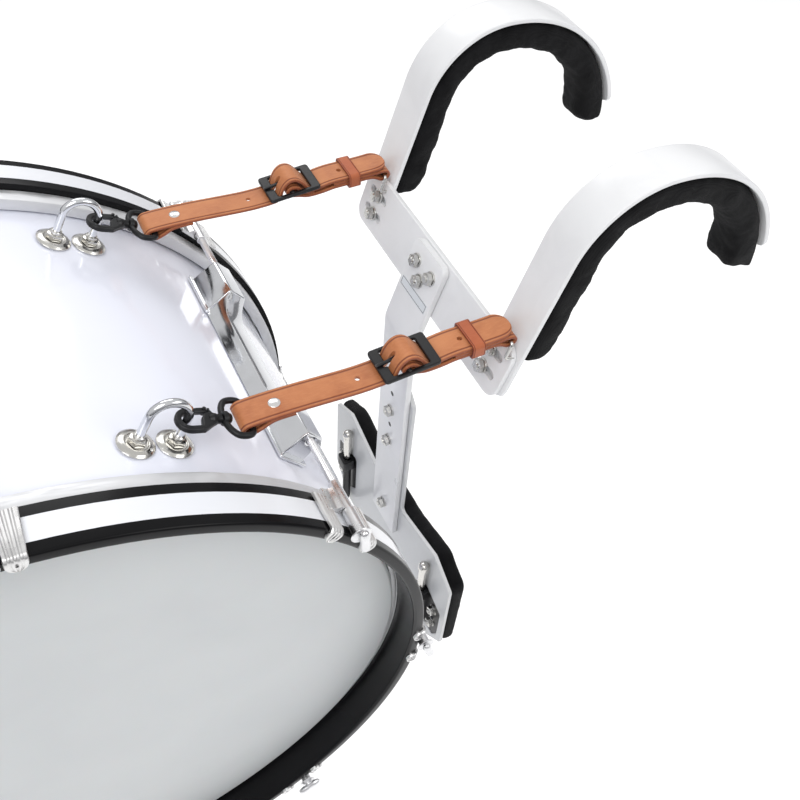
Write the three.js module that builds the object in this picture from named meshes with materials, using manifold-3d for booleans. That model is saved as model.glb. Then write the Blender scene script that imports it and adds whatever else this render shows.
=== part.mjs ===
// A marching bass drum worn on a shoulder carrier: shell, heads, hoops, lugs and key rods,
// two strap handles with snap hooks and buckled straps, and the carrier with its pads.
// Millimetres. The drum's axis lies along Y, the wearer stands at +X, and Z is up.
// The origin is on the wearer's shoulders, midway between the two arches.
import * as THREE from "three";
import { mergeVertices } from "three/addons/utils/BufferGeometryUtils.js";
import Module from "manifold-3d";

const wasm = await Module();
wasm.setup();

// Resolution, in counts
const roundSides = 44;
const bossSides = 6;
const holeSides = 8;
const rodSides = 6;
const nutSides = 6;
const arcSteps = 8;
const cornerSteps = 3;
const routeSteps = 2;

// Common clearances
const contactGap = 0.3;
const runningGap = 0.5;
const overrun = 2;
const weld = 1;
const mergeDistance = 0.0001;

// Shell
const shellRadius = 306;
const shellWall = 7;
const shellDepth = 305;
const bearingBevel = 2.5;
const bearingSlope = 4.5;

// Heads and the metal flesh hoops that hold them
const filmThickness = 0.8;
const filmCollar = 9.5;
const fleshHoopWall = 9.6;
const fleshHoopDepth = 12.7;
const fleshHoopSetback = 3.2;

// Wooden counter hoops
const hoopWall = 10;
const hoopLedge = 5;
const hoopDepth = 33;
const hoopOuterRound = 2;
const hoopInnerRound = 3;

// Key rods with a T handle
const rodRadius = 3;
const rodThreadCover = 31;
const sleeveRadius = 5;
const sleeveNeckRadius = 4.2;
const sleeveNeckLength = 25;
const rodHoopGap = 0.6;
const collarRadius = 8;
const collarThickness = 2;
const handleRadius = 4;
const handleLength = 26;
const handleStemRadius = 3.5;
const handleStemLength = 4;

// Claws
const prongOffset = 20.5;
const prongWidth = 13;
const prongThickness = 2.4;
const prongFrontThickness = 2.2;
const prongReach = 33;
const prongHook = 12;
const prongBevel = 3;
const clawBridgeLength = 18;
const clawBridgeInset = 4;
const clawBridgeWidth = 46;
const clawTubeWall = 2.8;

// Lugs
const lugCount = 8;
const firstLugAngle = 39;
const lugLength = 198;
const lugBaseWidth = 28;
const lugFootThickness = 5;
const lugHousingLength = 39;
const lugWebWidth = 12;
const lugBossRadius = 8;
const lugBarWidth = 16;
const lugBarHeight = 8;
const lugArchRise = 12;
const lugArchRun = 24;
const lugHoleGap = 0.5;
const studRadius = 3;
const studOffset = 78;
const studClearance = 1;
const insideWasherRadius = 8;
const insideWasherThickness = 1.5;
const insideHeadRadius = 5;
const insideHeadHeight = 4;

// Air vent
const ventAngle = -118.5;
const ventBore = 5;
const ventTubeRadius = 7.5;
const ventFlangeRadius = 11;
const ventFlangeThickness = 1.8;

// U handles that the straps hook on
const handleAngle = 61.5;
const handleInset = 48.5;
const loopLegSpacing = 27;
const loopRodRadius = 3;
const loopHeight = 41;
const loopHandleSteps = 15;
const loopWasherRadius = 13;
const loopWasherThickness = 3;
const loopNutRadius = 6.4;
const loopNutHeight = 5;
const loopLegInside = 9;
const loopInnerWasherRadius = 9;

// Snap hooks, and how far and how steeply they reach from the handle's leg to the loop's bar
const hookReach = 41.91;
const hookTilt = 22.83;
const hookSeatHeight = 22;
const hookThickness = 4.4;
const hookWidth = 20;
const hookWire = 4.5;
const hookSlotLength = 20;
const hookBodyLength = 28;
const hookNeckRadius = 3.4;
const hookNeckLength = 4;
const hookStemRadius = 2.1;
const hookHeadRadius = 3.8;
const hookHeadLength = 2;
const gateWidth = 4;
const gatePivotInset = 2.6;
const gateGapStart = 3.2;

// Strap loops on the hooks
const loopWire = 2.3;
const loopOuterWidth = 41;
const loopBarrelRadius = 5;
const loopBarrelLength = 4;
const loopSteps = 22;

// Straps
const strapWidth = 24.2;
const strapThickness = 2.5;
const strapGap = 0.4;
const strapTipRadius = 11;
const strapTipPast = 3.9;
const stackDrop = 1.4;
const rivetPlace = 20;
const rivetRadius = 4.2;
const rivetHeadHeight = 0.8;
const strapHoleRadius = 2;
const spareHoleBack = 34;
const keeperHoleBack = 9;
const prongSlotStart = 14.5;
const prongSlotEnd = 1.5;
const prongSlotWidth = 4.8;

// Buckles
const buckleBack = 83.3;
const buckleLift = 2;
const buckleTilt = 4;
const buckleLeftReach = 16;
const buckleRightReach = 20;
const buckleBar = 5.6;
const buckleRail = 3.2;
const buckleThickness = 3.2;
const buckleBarRadius = 2;
const buckleProngWidth = 3.4;
const buckleProngThickness = 2.4;
const buckleEyeGap = 0.4;

// Keepers
const keeperBack = 28.3;
const keeperLength = 10.5;
const keeperWall = 2;

// Carrier spine and crossbar
const carrierLean = 17;
const spineFront = 377;
const bendZ = 174;
const spineWidth = 52;
const spineThickness = 6;
const spineFoot = 295;
const spineHead = 84;
const spineHeadCorner = 7;
const spineHoleRadius = 2.6;
const spineHoleHigh = 91;
const spineHoleLow = 45;
const spineBoltHigh = 67;
const spineBoltMiddle = 21;
const spineBoltLow = -91;
const crossbarHeight = 50;
const crossbarCentre = 61.5;
const crossbarHalf = 121;
const crossbarThickness = 4.5;
const crossbarCorner = 12;
const slotHalfLength = 14;
const slotCentre = 98;
const slotWidth = 7;
const slotRow = 8.9;
const boltRadius = 2.8;
const boltHeadRadius = 5.6;
const boltHeadHeight = 4.5;
const boltWasherRadius = 6.2;
const boltWasherThickness = 1.4;
const headBoltSide = 12;
const headBoltLow = 56;
const headBoltHigh = 68;

// Staples that hold the short straps
const stapleWire = 1.5;
const stapleReach = 28.3;
const stapleRise = 89.9;
const stapleDrop = 1.65;
const stapleFoot = 80;
const stapleSteps = 14;

// Shoulder arms and their pads
const armCentre = 106;
const armWidth = 36;
const armThickness = 4;
const armFoot = 38;
const armStraight = 130;
const armBendRadius = 75;
const armBendTurn = 73;
const archRadius = 125;
const archTurn = 80;
const armBoltSide = 97;
const armPadWidth = 39;
const armPadThickness = 22;
const armPadFoot = 72;
const armPadOverhang = 20;
const armPadBulb = 9;
const armPadRound = 7;
const armPadLump = 1.2;
const armPadLumps = 9;
const armPadStations = 32;
const armPadSides = 8;

// Belly plate and pad
const bellyPlateThickness = 4;
const stemHalf = 32;
const stemTop = 108;
const stemChamfer = 11;
const wingTop = -62;
const wingTopReach = 98;
const wingNotch = -86;
const wingReach = 130;
const wingShoulder = -82;
const wingLow = -186;
const wingFootReach = 103;
const wingFoot = -220;
const windowDepth = 2.2;
const windowInner = 86;
const windowOuter = 119;
const windowTop = -116;
const windowBottom = -213;
const windowSlope = 16;
const clampBoltSide = 103;
const clampBoltHigh = -178;
const clampBoltLow = -202;
const bellyPadThickness = 20;
const bellyPadMargin = 7;
const bellyPadRound = 5;

// J rods that carry the drum
const jRodRadius = 4.8;
const jRodSide = 92;
const jRodTop = -78;
const jRodBottom = -200;
const jRodBend = 17;
const jRodTail = 14;
const jRodSteps = 14;
const jClampWall = 3.5;
const jClampLength = 16;
const jClampTop = -150;

// Shoulder rest, the part's origin
const restX = 516;
const restZ = 355;

// Places worked out from the driving sizes
const headPlane = shellDepth / 2;
const strapPlane = headPlane - handleInset;
const filmInner = shellRadius + contactGap;
const filmOuter = filmInner + filmThickness;
const fleshInner = filmOuter + contactGap;
const fleshOuter = fleshInner + fleshHoopWall;
const fleshFront = headPlane - fleshHoopSetback;
const fleshBack = fleshFront - fleshHoopDepth;
const hoopInner = fleshOuter - hoopLedge;
const hoopOuter = hoopInner + hoopWall;
const hoopBack = fleshFront + contactGap;
const hoopFront = hoopBack + hoopDepth;
const rodCircle = hoopOuter + sleeveRadius + rodHoopGap;
const clawFront = hoopFront + prongFrontThickness;
const collarBack = clawFront + contactGap;
const clawBridgeEnd = hoopBack + clawBridgeLength - clawBridgeInset;
const clawBridgeStart = clawBridgeEnd - clawBridgeLength;
const lugBase = shellRadius + contactGap;
const lugEnd = lugLength / 2;
const innerFace = (shellRadius - shellWall) * Math.cos(Math.PI / roundSides);

// Colours
const white = new THREE.MeshStandardMaterial({ color: 0xe8eaf4, roughness: 0.3, metalness: 0 });
const colours = {
  shell: white,
  head: new THREE.MeshStandardMaterial({ color: 0xc8cbcc, roughness: 0.5, metalness: 0 }),
  silver: new THREE.MeshStandardMaterial({ color: 0xaeb1b4, roughness: 0.35, metalness: 0.9 }),
  black: new THREE.MeshStandardMaterial({ color: 0x1c1d1f, roughness: 0.35, metalness: 0 }),
  chrome: new THREE.MeshStandardMaterial({ color: 0xd6d8da, roughness: 0.12, metalness: 1 }),
  dark: new THREE.MeshStandardMaterial({ color: 0x26272a, roughness: 0.45, metalness: 0.6 }),
  leather: new THREE.MeshStandardMaterial({ color: 0xc48054, roughness: 0.6, metalness: 0 }),
  keeper: new THREE.MeshStandardMaterial({ color: 0xb05c3a, roughness: 0.6, metalness: 0 }),
  paint: new THREE.MeshStandardMaterial({ color: 0xe6e7e8, roughness: 0.35, metalness: 0 }),
  foam: new THREE.MeshStandardMaterial({ color: 0x17181a, roughness: 0.9, metalness: 0 }),
};

// Solids from geometries, and back
function solidOf(geometry) {
  const bare = new THREE.BufferGeometry();
  bare.setAttribute("position", geometry.getAttribute("position"));
  bare.setIndex(geometry.index);
  const merged = mergeVertices(bare, mergeDistance);
  const corners = [];
  const index = merged.index.array;
  for (let i = 0; i < index.length; i += 3) {
    const [a, b, c] = [index[i], index[i + 1], index[i + 2]];
    if (a !== b && b !== c && c !== a) {
      corners.push(a, b, c);
    }
  }
  const vertProperties = new Float32Array(merged.attributes.position.array);
  const make = (list) =>
    new wasm.Manifold(new wasm.Mesh({ numProp: 3, vertProperties, triVerts: new Uint32Array(list) }));
  const solid = make(corners);
  return solid.volume() < 0 ? make(corners.reverse()) : solid;
}

function geometryOf(solid) {
  const mesh = solid.getMesh();
  const geometry = new THREE.BufferGeometry();
  geometry.setAttribute("position", new THREE.BufferAttribute(new Float32Array(mesh.vertProperties), 3));
  geometry.setIndex(new THREE.BufferAttribute(new Uint32Array(mesh.triVerts), 1));
  geometry.computeVertexNormals();
  return geometry;
}

const joined = (geometries) => geometries.map(solidOf).reduce((sum, next) => sum.add(next));
const cutBy = (solid, geometries) =>
  geometries.map(solidOf).reduce((left, tool) => left.subtract(tool), solid);

const model = new THREE.Group();

function addPiece(name, shape, material, parent = model) {
  const geometry = shape.isBufferGeometry ? geometryOf(solidOf(shape)) : geometryOf(shape);
  const mesh = new THREE.Mesh(geometry, material);
  mesh.name = name;
  parent.add(mesh);
  return mesh;
}

// Plain shapes
function block(x0, x1, y0, y1, z0, z1) {
  const geometry = new THREE.BoxGeometry(x1 - x0, y1 - y0, z1 - z0);
  return geometry.translate((x0 + x1) / 2, (y0 + y1) / 2, (z0 + z1) / 2);
}

function rodY(radius, y0, y1, x, z, sides = holeSides) {
  const geometry = new THREE.CylinderGeometry(radius, radius, y1 - y0, sides);
  return geometry.translate(x, (y0 + y1) / 2, z);
}

function rodZ(radius, z0, z1, x, y, sides = holeSides) {
  const geometry = new THREE.CylinderGeometry(radius, radius, z1 - z0, sides);
  return geometry.rotateX(Math.PI / 2).translate(x, y, (z0 + z1) / 2);
}

function rodX(radius, x0, x1, y, z, sides = holeSides) {
  const geometry = new THREE.CylinderGeometry(radius, radius, x1 - x0, sides);
  return geometry.rotateZ(Math.PI / 2).translate((x0 + x1) / 2, y, z);
}

const outline = (points) => new THREE.Shape(points.map(([a, b]) => new THREE.Vector2(a, b)));

function slab(shape, depth) {
  return new THREE.ExtrudeGeometry(shape, { depth, bevelEnabled: false, curveSegments: cornerSteps });
}

// An outline in Y and Z, made thick along X
function plateX(shape, x0, x1) {
  const turn = new THREE.Matrix4().makeBasis(
    new THREE.Vector3(0, 1, 0),
    new THREE.Vector3(0, 0, 1),
    new THREE.Vector3(1, 0, 0),
  );
  return slab(shape, x1 - x0).applyMatrix4(turn).translate(x0, 0, 0);
}

// An outline in X and Z, made thick along Y about a middle plane
function plateY(shape, width, middle = 0) {
  return slab(shape, width).rotateX(Math.PI / 2).translate(0, middle + width / 2, 0);
}

// An outline in X and Y, made thick along Z
const plateZ = (shape, z0, z1) => slab(shape, z1 - z0).translate(0, 0, z0);

// A closed or axis-to-axis profile of radius and Y, turned about the drum's axis
function turned(points, sides) {
  return new THREE.LatheGeometry(points.map(([r, y]) => new THREE.Vector2(r, y)), sides);
}

// A profile of radius and Z, turned about Z
const turnedZ = (points, sides) => turned(points, sides).rotateX(Math.PI / 2);

function roundedBox(halfA, halfB, corner) {
  const shape = new THREE.Shape();
  shape.moveTo(-halfA + corner, -halfB);
  shape.lineTo(halfA - corner, -halfB);
  shape.absarc(halfA - corner, -halfB + corner, corner, -Math.PI / 2, 0, false);
  shape.lineTo(halfA, halfB - corner);
  shape.absarc(halfA - corner, halfB - corner, corner, 0, Math.PI / 2, false);
  shape.lineTo(-halfA + corner, halfB);
  shape.absarc(-halfA + corner, halfB - corner, corner, Math.PI / 2, Math.PI, false);
  shape.lineTo(-halfA, -halfB + corner);
  shape.absarc(-halfA + corner, -halfB + corner, corner, Math.PI, Math.PI * 1.5, false);
  return shape;
}

// A wire with flat ends along a smooth curve through points
function wire(points, radius, steps, sides = rodSides) {
  const path = new THREE.CatmullRomCurve3(points.map((p) => new THREE.Vector3(...p)), false, "centripetal");
  const section = [];
  for (let i = 0; i < sides; i += 1) {
    const turn = (i / sides) * Math.PI * 2;
    section.push([radius * Math.cos(turn), radius * Math.sin(turn)]);
  }
  return new THREE.ExtrudeGeometry(outline(section), { steps, extrudePath: path });
}

// The outline of a band of even thickness along points in one plane
function bandOutline(points, thickness) {
  const sideAt = (i) => {
    const before = points[Math.max(i - 1, 0)];
    const after = points[Math.min(i + 1, points.length - 1)];
    const along = new THREE.Vector2(after.x - before.x, after.y - before.y).normalize();
    return new THREE.Vector2(-along.y, along.x).multiplyScalar(thickness / 2);
  };
  const left = points.map((p, i) => p.clone().add(sideAt(i)));
  const right = points.map((p, i) => p.clone().sub(sideAt(i)));
  return new THREE.Shape([...left, ...right.reverse()]);
}

// A smooth line through points, with the same few steps between each two of them
function smooth(points) {
  const places = points.map(([x, z]) => new THREE.Vector3(x, z, 0));
  const curve = new THREE.CatmullRomCurve3(places, false, "centripetal");
  const steps = (points.length - 1) * routeSteps;
  return curve.getPoints(steps).map((p) => new THREE.Vector2(p.x, p.y));
}

// Turns a piece made at the top of the drum to its place round the shell
const aroundTurn = (angle) => THREE.MathUtils.degToRad(90 - angle);
const placedAround = (geometry, angle) => geometry.rotateY(aroundTurn(angle));
const lugAngles = Array.from({ length: lugCount }, (_, i) => firstLugAngle - (i * 360) / lugCount);
const insideSeat = (halfWidth) => Math.sqrt(innerFace ** 2 - halfWidth ** 2) - contactGap;
const sides = { near: -1, far: 1 };

// Shell
function shellSolid() {
  const outerCrest = shellRadius - bearingBevel;
  const inner = shellRadius - shellWall;
  const profile = [
    [inner, -headPlane + bearingSlope],
    [outerCrest, -headPlane],
    [shellRadius, -headPlane + bearingBevel],
    [shellRadius, headPlane - bearingBevel],
    [outerCrest, headPlane],
    [inner, headPlane - bearingSlope],
    [inner, -headPlane + bearingSlope],
  ];
  const hole = (radius, x, y, angle) => {
    const tool = rodZ(radius + studClearance, inner - shellWall, shellRadius + shellWall, x, y, rodSides);
    return placedAround(tool, angle);
  };
  const holes = [hole(ventTubeRadius + runningGap, 0, 0, ventAngle)];
  for (const angle of lugAngles) {
    holes.push(hole(studRadius, 0, studOffset, angle), hole(studRadius, 0, -studOffset, angle));
  }
  for (const side of Object.values(sides)) {
    for (const leg of [-1, 1]) {
      holes.push(hole(loopRodRadius, (leg * loopLegSpacing) / 2, side * strapPlane, handleAngle));
    }
  }
  return cutBy(solidOf(turned(profile, roundSides)), holes);
}

function ventSolid() {
  const seat = insideSeat(ventFlangeRadius);
  const top = lugBase + ventFlangeThickness;
  const profile = [
    [ventBore, seat - ventFlangeThickness],
    [ventFlangeRadius, seat - ventFlangeThickness],
    [ventFlangeRadius, seat],
    [ventTubeRadius, seat],
    [ventTubeRadius, lugBase],
    [ventFlangeRadius, lugBase],
    [ventFlangeRadius - ventFlangeThickness, top],
    [ventBore, top],
    [ventBore, seat - ventFlangeThickness],
  ];
  return turnedZ(profile, bossSides);
}

// Heads, flesh hoops and counter hoops, made for the far side and turned for the near one
function filmGeometry() {
  const back = headPlane + contactGap;
  return turned(
    [
      [0, back],
      [filmInner, back],
      [filmInner, headPlane - filmCollar],
      [filmOuter, headPlane - filmCollar],
      [filmOuter, back + filmThickness],
      [0, back + filmThickness],
    ],
    roundSides,
  );
}

function fleshHoopGeometry() {
  return turned(
    [
      [fleshInner, fleshBack],
      [fleshOuter, fleshBack],
      [fleshOuter, fleshFront],
      [fleshInner, fleshFront],
      [fleshInner, fleshBack],
    ],
    roundSides,
  );
}

function prongGeometry(offset) {
  const skin = hoopOuter + prongThickness;
  const low = skin - prongHook;
  const shape = outline([
    [clawFront - prongReach, hoopOuter - weld],
    [clawFront - prongReach, skin],
    [clawFront - prongBevel, skin],
    [clawFront, skin - prongBevel],
    [clawFront, low],
    [hoopFront - weld, low],
    [hoopFront - weld, hoopOuter - weld],
  ]);
  return plateX(shape, offset - prongWidth / 2, offset + prongWidth / 2);
}

function circlePoints(radius, x, z, sides) {
  return Array.from({ length: sides }, (_, i) => {
    const turn = ((i + 0.5) / sides) * Math.PI * 2;
    return [x + radius * Math.cos(turn), z + radius * Math.sin(turn)];
  });
}

// One claw at the top of the drum: two prongs over the hoop and a bridge with the rod's eye
function clawSolid() {
  const skin = hoopOuter + prongThickness;
  const half = clawBridgeWidth / 2;
  const bore = sleeveNeckRadius + runningGap;
  const eye = bore + clawTubeWall;
  const bridge = outline([
    [-half, hoopOuter - weld],
    [half, hoopOuter - weld],
    [half, skin],
    [eye, skin],
    [eye / 2, rodCircle + eye],
    [-eye / 2, rodCircle + eye],
    [-eye, skin],
    [-half, skin],
  ]);
  bridge.holes.push(outline(circlePoints(bore, 0, rodCircle, holeSides)));
  const middle = (clawBridgeStart + clawBridgeEnd) / 2;
  return joined([
    prongGeometry(-prongOffset),
    prongGeometry(prongOffset),
    plateY(bridge, clawBridgeLength, middle),
  ]);
}

function hoopSolid() {
  const ring = solidOf(
    turned(
      [
        [hoopInner, hoopBack],
        [hoopOuter, hoopBack],
        [hoopOuter, hoopFront - hoopOuterRound],
        [hoopOuter - hoopOuterRound, hoopFront],
        [hoopInner + hoopInnerRound, hoopFront],
        [hoopInner, hoopFront - hoopInnerRound],
        [hoopInner, hoopBack],
      ],
      roundSides,
    ),
  );
  const claw = geometryOf(clawSolid());
  const claws = lugAngles.map((angle) => solidOf(placedAround(claw.clone(), angle)));
  return claws.reduce((sum, next) => sum.add(next), ring);
}

// The end view of a lug's housing: foot, web and round boss with the bore for the rod
function lugHousingOutline() {
  const foot = lugBase + lugFootThickness;
  const halfBase = lugBaseWidth / 2;
  const halfWeb = lugWebWidth / 2;
  const points = [
    [-halfWeb, foot],
    [-halfBase, foot],
    [-halfBase, lugBase],
    [halfBase, lugBase],
    [halfBase, foot],
    [halfWeb, foot],
  ];
  for (let i = 0; i <= bossSides; i += 1) {
    const turn = -Math.PI / 4 + (i / bossSides) * Math.PI * 1.5;
    points.push([lugBossRadius * Math.cos(turn), rodCircle + lugBossRadius * Math.sin(turn)]);
  }
  const shape = outline(points);
  shape.holes.push(outline(circlePoints(rodRadius + lugHoleGap, 0, rodCircle, holeSides)));
  return shape;
}

// One double-ended lug at the top of the drum, with its screws and inside washers
function lugSolid() {
  const barTop = lugBase + lugFootThickness + lugBarHeight;
  const inner = lugEnd - lugHousingLength;
  const overlap = inner + lugFootThickness;
  const bar = outline([
    [-overlap, lugBase + contactGap],
    [overlap, lugBase + contactGap],
    [overlap, barTop + lugArchRise],
    [overlap - lugArchRun / 2, barTop + lugArchRise / 3],
    [overlap - lugArchRun, barTop],
    [-overlap + lugArchRun, barTop],
    [-overlap + lugArchRun / 2, barTop + lugArchRise / 3],
    [-overlap, barTop + lugArchRise],
  ]);
  const seat = insideSeat(insideWasherRadius);
  const washer = seat - insideWasherThickness;
  const pieces = [plateX(bar, -lugBarWidth / 2, lugBarWidth / 2)];
  for (const end of Object.values(sides)) {
    pieces.push(plateY(lugHousingOutline(), lugHousingLength, end * (lugEnd - lugHousingLength / 2)));
    pieces.push(rodZ(studRadius, washer - weld, lugBase + weld, 0, end * studOffset, rodSides));
    pieces.push(rodZ(insideWasherRadius, washer, seat, 0, end * studOffset, nutSides));
    pieces.push(rodZ(insideHeadRadius, washer - insideHeadHeight, washer, 0, end * studOffset, nutSides));
  }
  return joined(pieces);
}

// One key rod at the top of the drum, on the far side
function rodSolid(handleTurn) {
  const neckEnd = clawBridgeEnd + contactGap;
  const neckStart = neckEnd - sleeveNeckLength;
  const collarFront = collarBack + collarThickness;
  const stemEnd = collarFront + handleStemLength;
  const body = turned(
    [
      [0, lugEnd - rodThreadCover],
      [rodRadius, lugEnd - rodThreadCover],
      [rodRadius, neckStart],
      [sleeveNeckRadius, neckStart],
      [sleeveNeckRadius, neckEnd],
      [sleeveRadius, neckEnd],
      [sleeveRadius, collarBack],
      [collarRadius, collarBack],
      [handleStemRadius, collarFront],
      [handleStemRadius, stemEnd],
      [0, stemEnd],
    ],
    rodSides,
  );
  const bar = rodZ(handleRadius, -handleLength / 2, handleLength / 2, 0, stemEnd, rodSides);
  bar.translate(0, -stemEnd, 0).rotateY(THREE.MathUtils.degToRad(handleTurn)).translate(0, stemEnd, 0);
  return joined([body, bar]).translate([0, 0, rodCircle]);
}

// One U handle at the top of the drum with its washers and nuts
function loopHandleSolid() {
  const half = loopLegSpacing / 2;
  const archCentre = shellRadius + loopHeight - loopRodRadius - half;
  const seat = insideSeat(half + loopInnerWasherRadius);
  const legEnd = seat - loopLegInside;
  const points = [
    [-half, 0, legEnd],
    [-half, 0, shellRadius],
    [-half, 0, archCentre],
  ];
  for (let i = 1; i < arcSteps; i += 1) {
    const turn = Math.PI * (1 - i / arcSteps);
    points.push([half * Math.cos(turn), 0, archCentre + half * Math.sin(turn)]);
  }
  points.push([half, 0, archCentre], [half, 0, shellRadius], [half, 0, legEnd]);
  const pieces = [wire(points, loopRodRadius, loopHandleSteps)];
  for (const x of [-half, half]) {
    const top = lugBase + loopWasherThickness;
    const dish = turnedZ(
      [
        [0, lugBase],
        [loopWasherRadius, lugBase],
        [loopWasherRadius - loopWasherThickness / 2, lugBase + loopWasherThickness / 2],
        [loopNutRadius, top],
        [0, top],
      ],
      holeSides,
    );
    pieces.push(dish.translate(x, 0, 0));
    pieces.push(rodZ(loopNutRadius, top - weld / 2, top + loopNutHeight, x, 0, nutSides));
    pieces.push(rodZ(loopInnerWasherRadius, seat - insideWasherThickness, seat, x, 0));
    const nutEnd = seat - insideWasherThickness - loopNutHeight;
    pieces.push(rodZ(loopNutRadius, nutEnd, seat - weld, x, 0, nutSides));
  }
  return joined(pieces);
}

addPiece("shell", shellSolid(), colours.shell);
addPiece("air_vent", ventSolid(), colours.chrome).rotation.y = aroundTurn(ventAngle);

const handleTurnShares = [0.3, 0.62, 0.45, 0.1, 0.75, 0.9, 0.2, 0.55];
lugAngles.forEach((angle, i) => {
  addPiece(`lug_${i + 1}`, lugSolid(), colours.chrome).rotation.y = aroundTurn(angle);
});

for (const [sideName, side] of Object.entries(sides)) {
  const mirror = side > 0 ? 0 : Math.PI;
  addPiece(`head_film_${sideName}`, filmGeometry(), colours.head).rotation.z = mirror;
  addPiece(`flesh_hoop_${sideName}`, fleshHoopGeometry(), colours.silver).rotation.z = mirror;
  lugAngles.forEach((angle, i) => {
    const place = new THREE.Group();
    place.rotation.y = aroundTurn(angle);
    const solid = rodSolid(180 * handleTurnShares[i]);
    const rod = addPiece(`tension_rod_${sideName}_${i + 1}`, solid, colours.chrome, place);
    rod.rotation.z = mirror;
    model.add(place);
  });
  const handle = addPiece(`handle_${sideName}`, loopHandleSolid(), colours.chrome);
  handle.rotation.y = aroundTurn(handleAngle);
  handle.position.y = side * strapPlane;
}

// The near hoop is the far one mirrored in Y
function hoopFor(side) {
  const solid = hoopSolid();
  return side > 0 ? solid : solid.mirror([0, 1, 0]);
}

for (const [sideName, side] of Object.entries(sides)) {
  addPiece(`hoop_${sideName}`, hoopFor(side), colours.black);
}

// Snap hook, gate and strap loop, in a frame at the handle's leg with X towards the strap
const legRadius = shellRadius + hookSeatHeight;
const handleTurnAngle = THREE.MathUtils.degToRad(handleAngle);
const legX = legRadius * Math.cos(handleTurnAngle) + (loopLegSpacing / 2) * Math.sin(handleTurnAngle);
const legZ = legRadius * Math.sin(handleTurnAngle) - (loopLegSpacing / 2) * Math.cos(handleTurnAngle);
const hookTurn = THREE.MathUtils.degToRad(hookTilt);
const barX = legX + hookReach * Math.cos(hookTurn);
const barZ = legZ - hookReach * Math.sin(hookTurn);
const jawLeft = -loopRodRadius - runningGap;
const hookTip = jawLeft - hookWire;
const hookEnd = hookTip + hookBodyLength;
const neckEnd = hookEnd + hookNeckLength;
const barrelStart = neckEnd + contactGap;
const barrelEnd = barrelStart + loopBarrelLength;
const slotHalf = hookWidth / 2 - hookWire;
const gatePivotX = jawLeft + hookSlotLength - gatePivotInset;
const gateMiddle = (slotHalf + hookWidth / 2) / 2;

function hookSolid() {
  const half = hookWidth / 2;
  const shape = new THREE.Shape();
  shape.absarc(hookTip + half, 0, half, Math.PI / 2, Math.PI * 1.5, false);
  shape.lineTo(hookEnd - half, -half);
  shape.lineTo(hookEnd, -hookNeckRadius);
  shape.lineTo(hookEnd, hookNeckRadius);
  shape.lineTo(hookEnd - half, half);
  const slotShape = new THREE.Path();
  const slotEnd = jawLeft + hookSlotLength - slotHalf;
  slotShape.absarc(jawLeft + slotHalf, 0, slotHalf, Math.PI / 2, Math.PI * 1.5, false);
  slotShape.absarc(slotEnd, 0, slotHalf, -Math.PI / 2, Math.PI / 2, false);
  shape.holes.push(slotShape);
  const body = joined([
    plateZ(shape, -hookThickness / 2, hookThickness / 2),
    rodX(hookNeckRadius, hookEnd - overrun, neckEnd, 0, 0),
    rodX(hookStemRadius, neckEnd - weld, barrelEnd + contactGap + weld, 0, 0),
    rodX(hookHeadRadius, barrelEnd + contactGap, barrelEnd + contactGap + hookHeadLength, 0, 0),
  ]);
  const room = gateWidth / 2 + runningGap;
  const deep = hookThickness;
  return cutBy(body, [
    block(gateGapStart, gatePivotX, slotHalf - overrun, half + overrun, -deep, deep),
    rodZ(room, -deep, deep, gatePivotX, gateMiddle),
  ]);
}

function gateGeometry() {
  const end = gateGapStart + contactGap;
  const half = gateWidth / 2;
  const shape = new THREE.Shape();
  shape.moveTo(end, gateMiddle - half);
  shape.lineTo(gatePivotX, gateMiddle - half);
  shape.absarc(gatePivotX, gateMiddle, half, -Math.PI / 2, Math.PI / 2, false);
  shape.lineTo(end, gateMiddle + half);
  return plateZ(shape, -hookThickness / 2 + contactGap, hookThickness / 2 - contactGap);
}

function strapLoopSolid() {
  const half = loopOuterWidth / 2 - loopWire;
  const start = (barrelStart + barrelEnd) / 2;
  const span = hookReach - start;
  const pointShares = [
    [0, 0.2],
    [0.3, 0.72],
    [0.72, 1],
    [1, 0.8],
  ];
  const upper = pointShares.map(([along, across]) => [start + along * span, across * half]);
  const lower = upper.map(([x, y]) => [x, -y]).reverse();
  const points = [...upper, ...lower].map(([x, y]) => new THREE.Vector3(x, y, 0));
  const path = new THREE.CatmullRomCurve3(points, true, "centripetal");
  const ring = new THREE.TubeGeometry(path, loopSteps, loopWire, rodSides, true);
  const body = joined([ring, rodX(loopBarrelRadius, barrelStart, barrelEnd, 0, 0)]);
  return cutBy(body, [
    rodX(hookStemRadius + runningGap, barrelStart - overrun, barrelEnd + overrun, 0, 0),
    rodX(hookHeadRadius + runningGap, barrelEnd, barrelEnd + hookHeadLength + contactGap * 3, 0, 0),
  ]);
}

// Straps, in a frame at the loop's bar with X along the strap towards the staple. Their turns
// follow the bars that they go round, and their layers lie one strapLayer apart.
const stapleX = spineFront + stapleReach;
const stapleZ = bendZ + stapleRise;
const strapFall = barZ - stapleDrop - stapleZ;
const strapTurn = Math.atan2(strapFall, stapleX - barX);
const strapLength = Math.hypot(strapFall, stapleX - barX);
const strapLayer = strapThickness + strapGap;
const foldTurn = loopWire + strapGap + strapThickness / 2;
const buckleTurn = buckleBarRadius + strapGap + strapThickness / 2;
const stapleTurn = stapleWire + strapGap + strapThickness / 2;
const buckleX = strapLength - buckleBack;
const buckleZ = foldTurn + buckleLift;
const keeperX = strapLength - keeperBack;
const stackZ = foldTurn - stackDrop;

// Points given as shares of a size along X and of another along Z, about a place
function about(x, z, unitX, unitZ, pointShares) {
  return pointShares.map(([shareX, shareZ]) => [x + shareX * unitX, z + shareZ * unitZ]);
}

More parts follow.
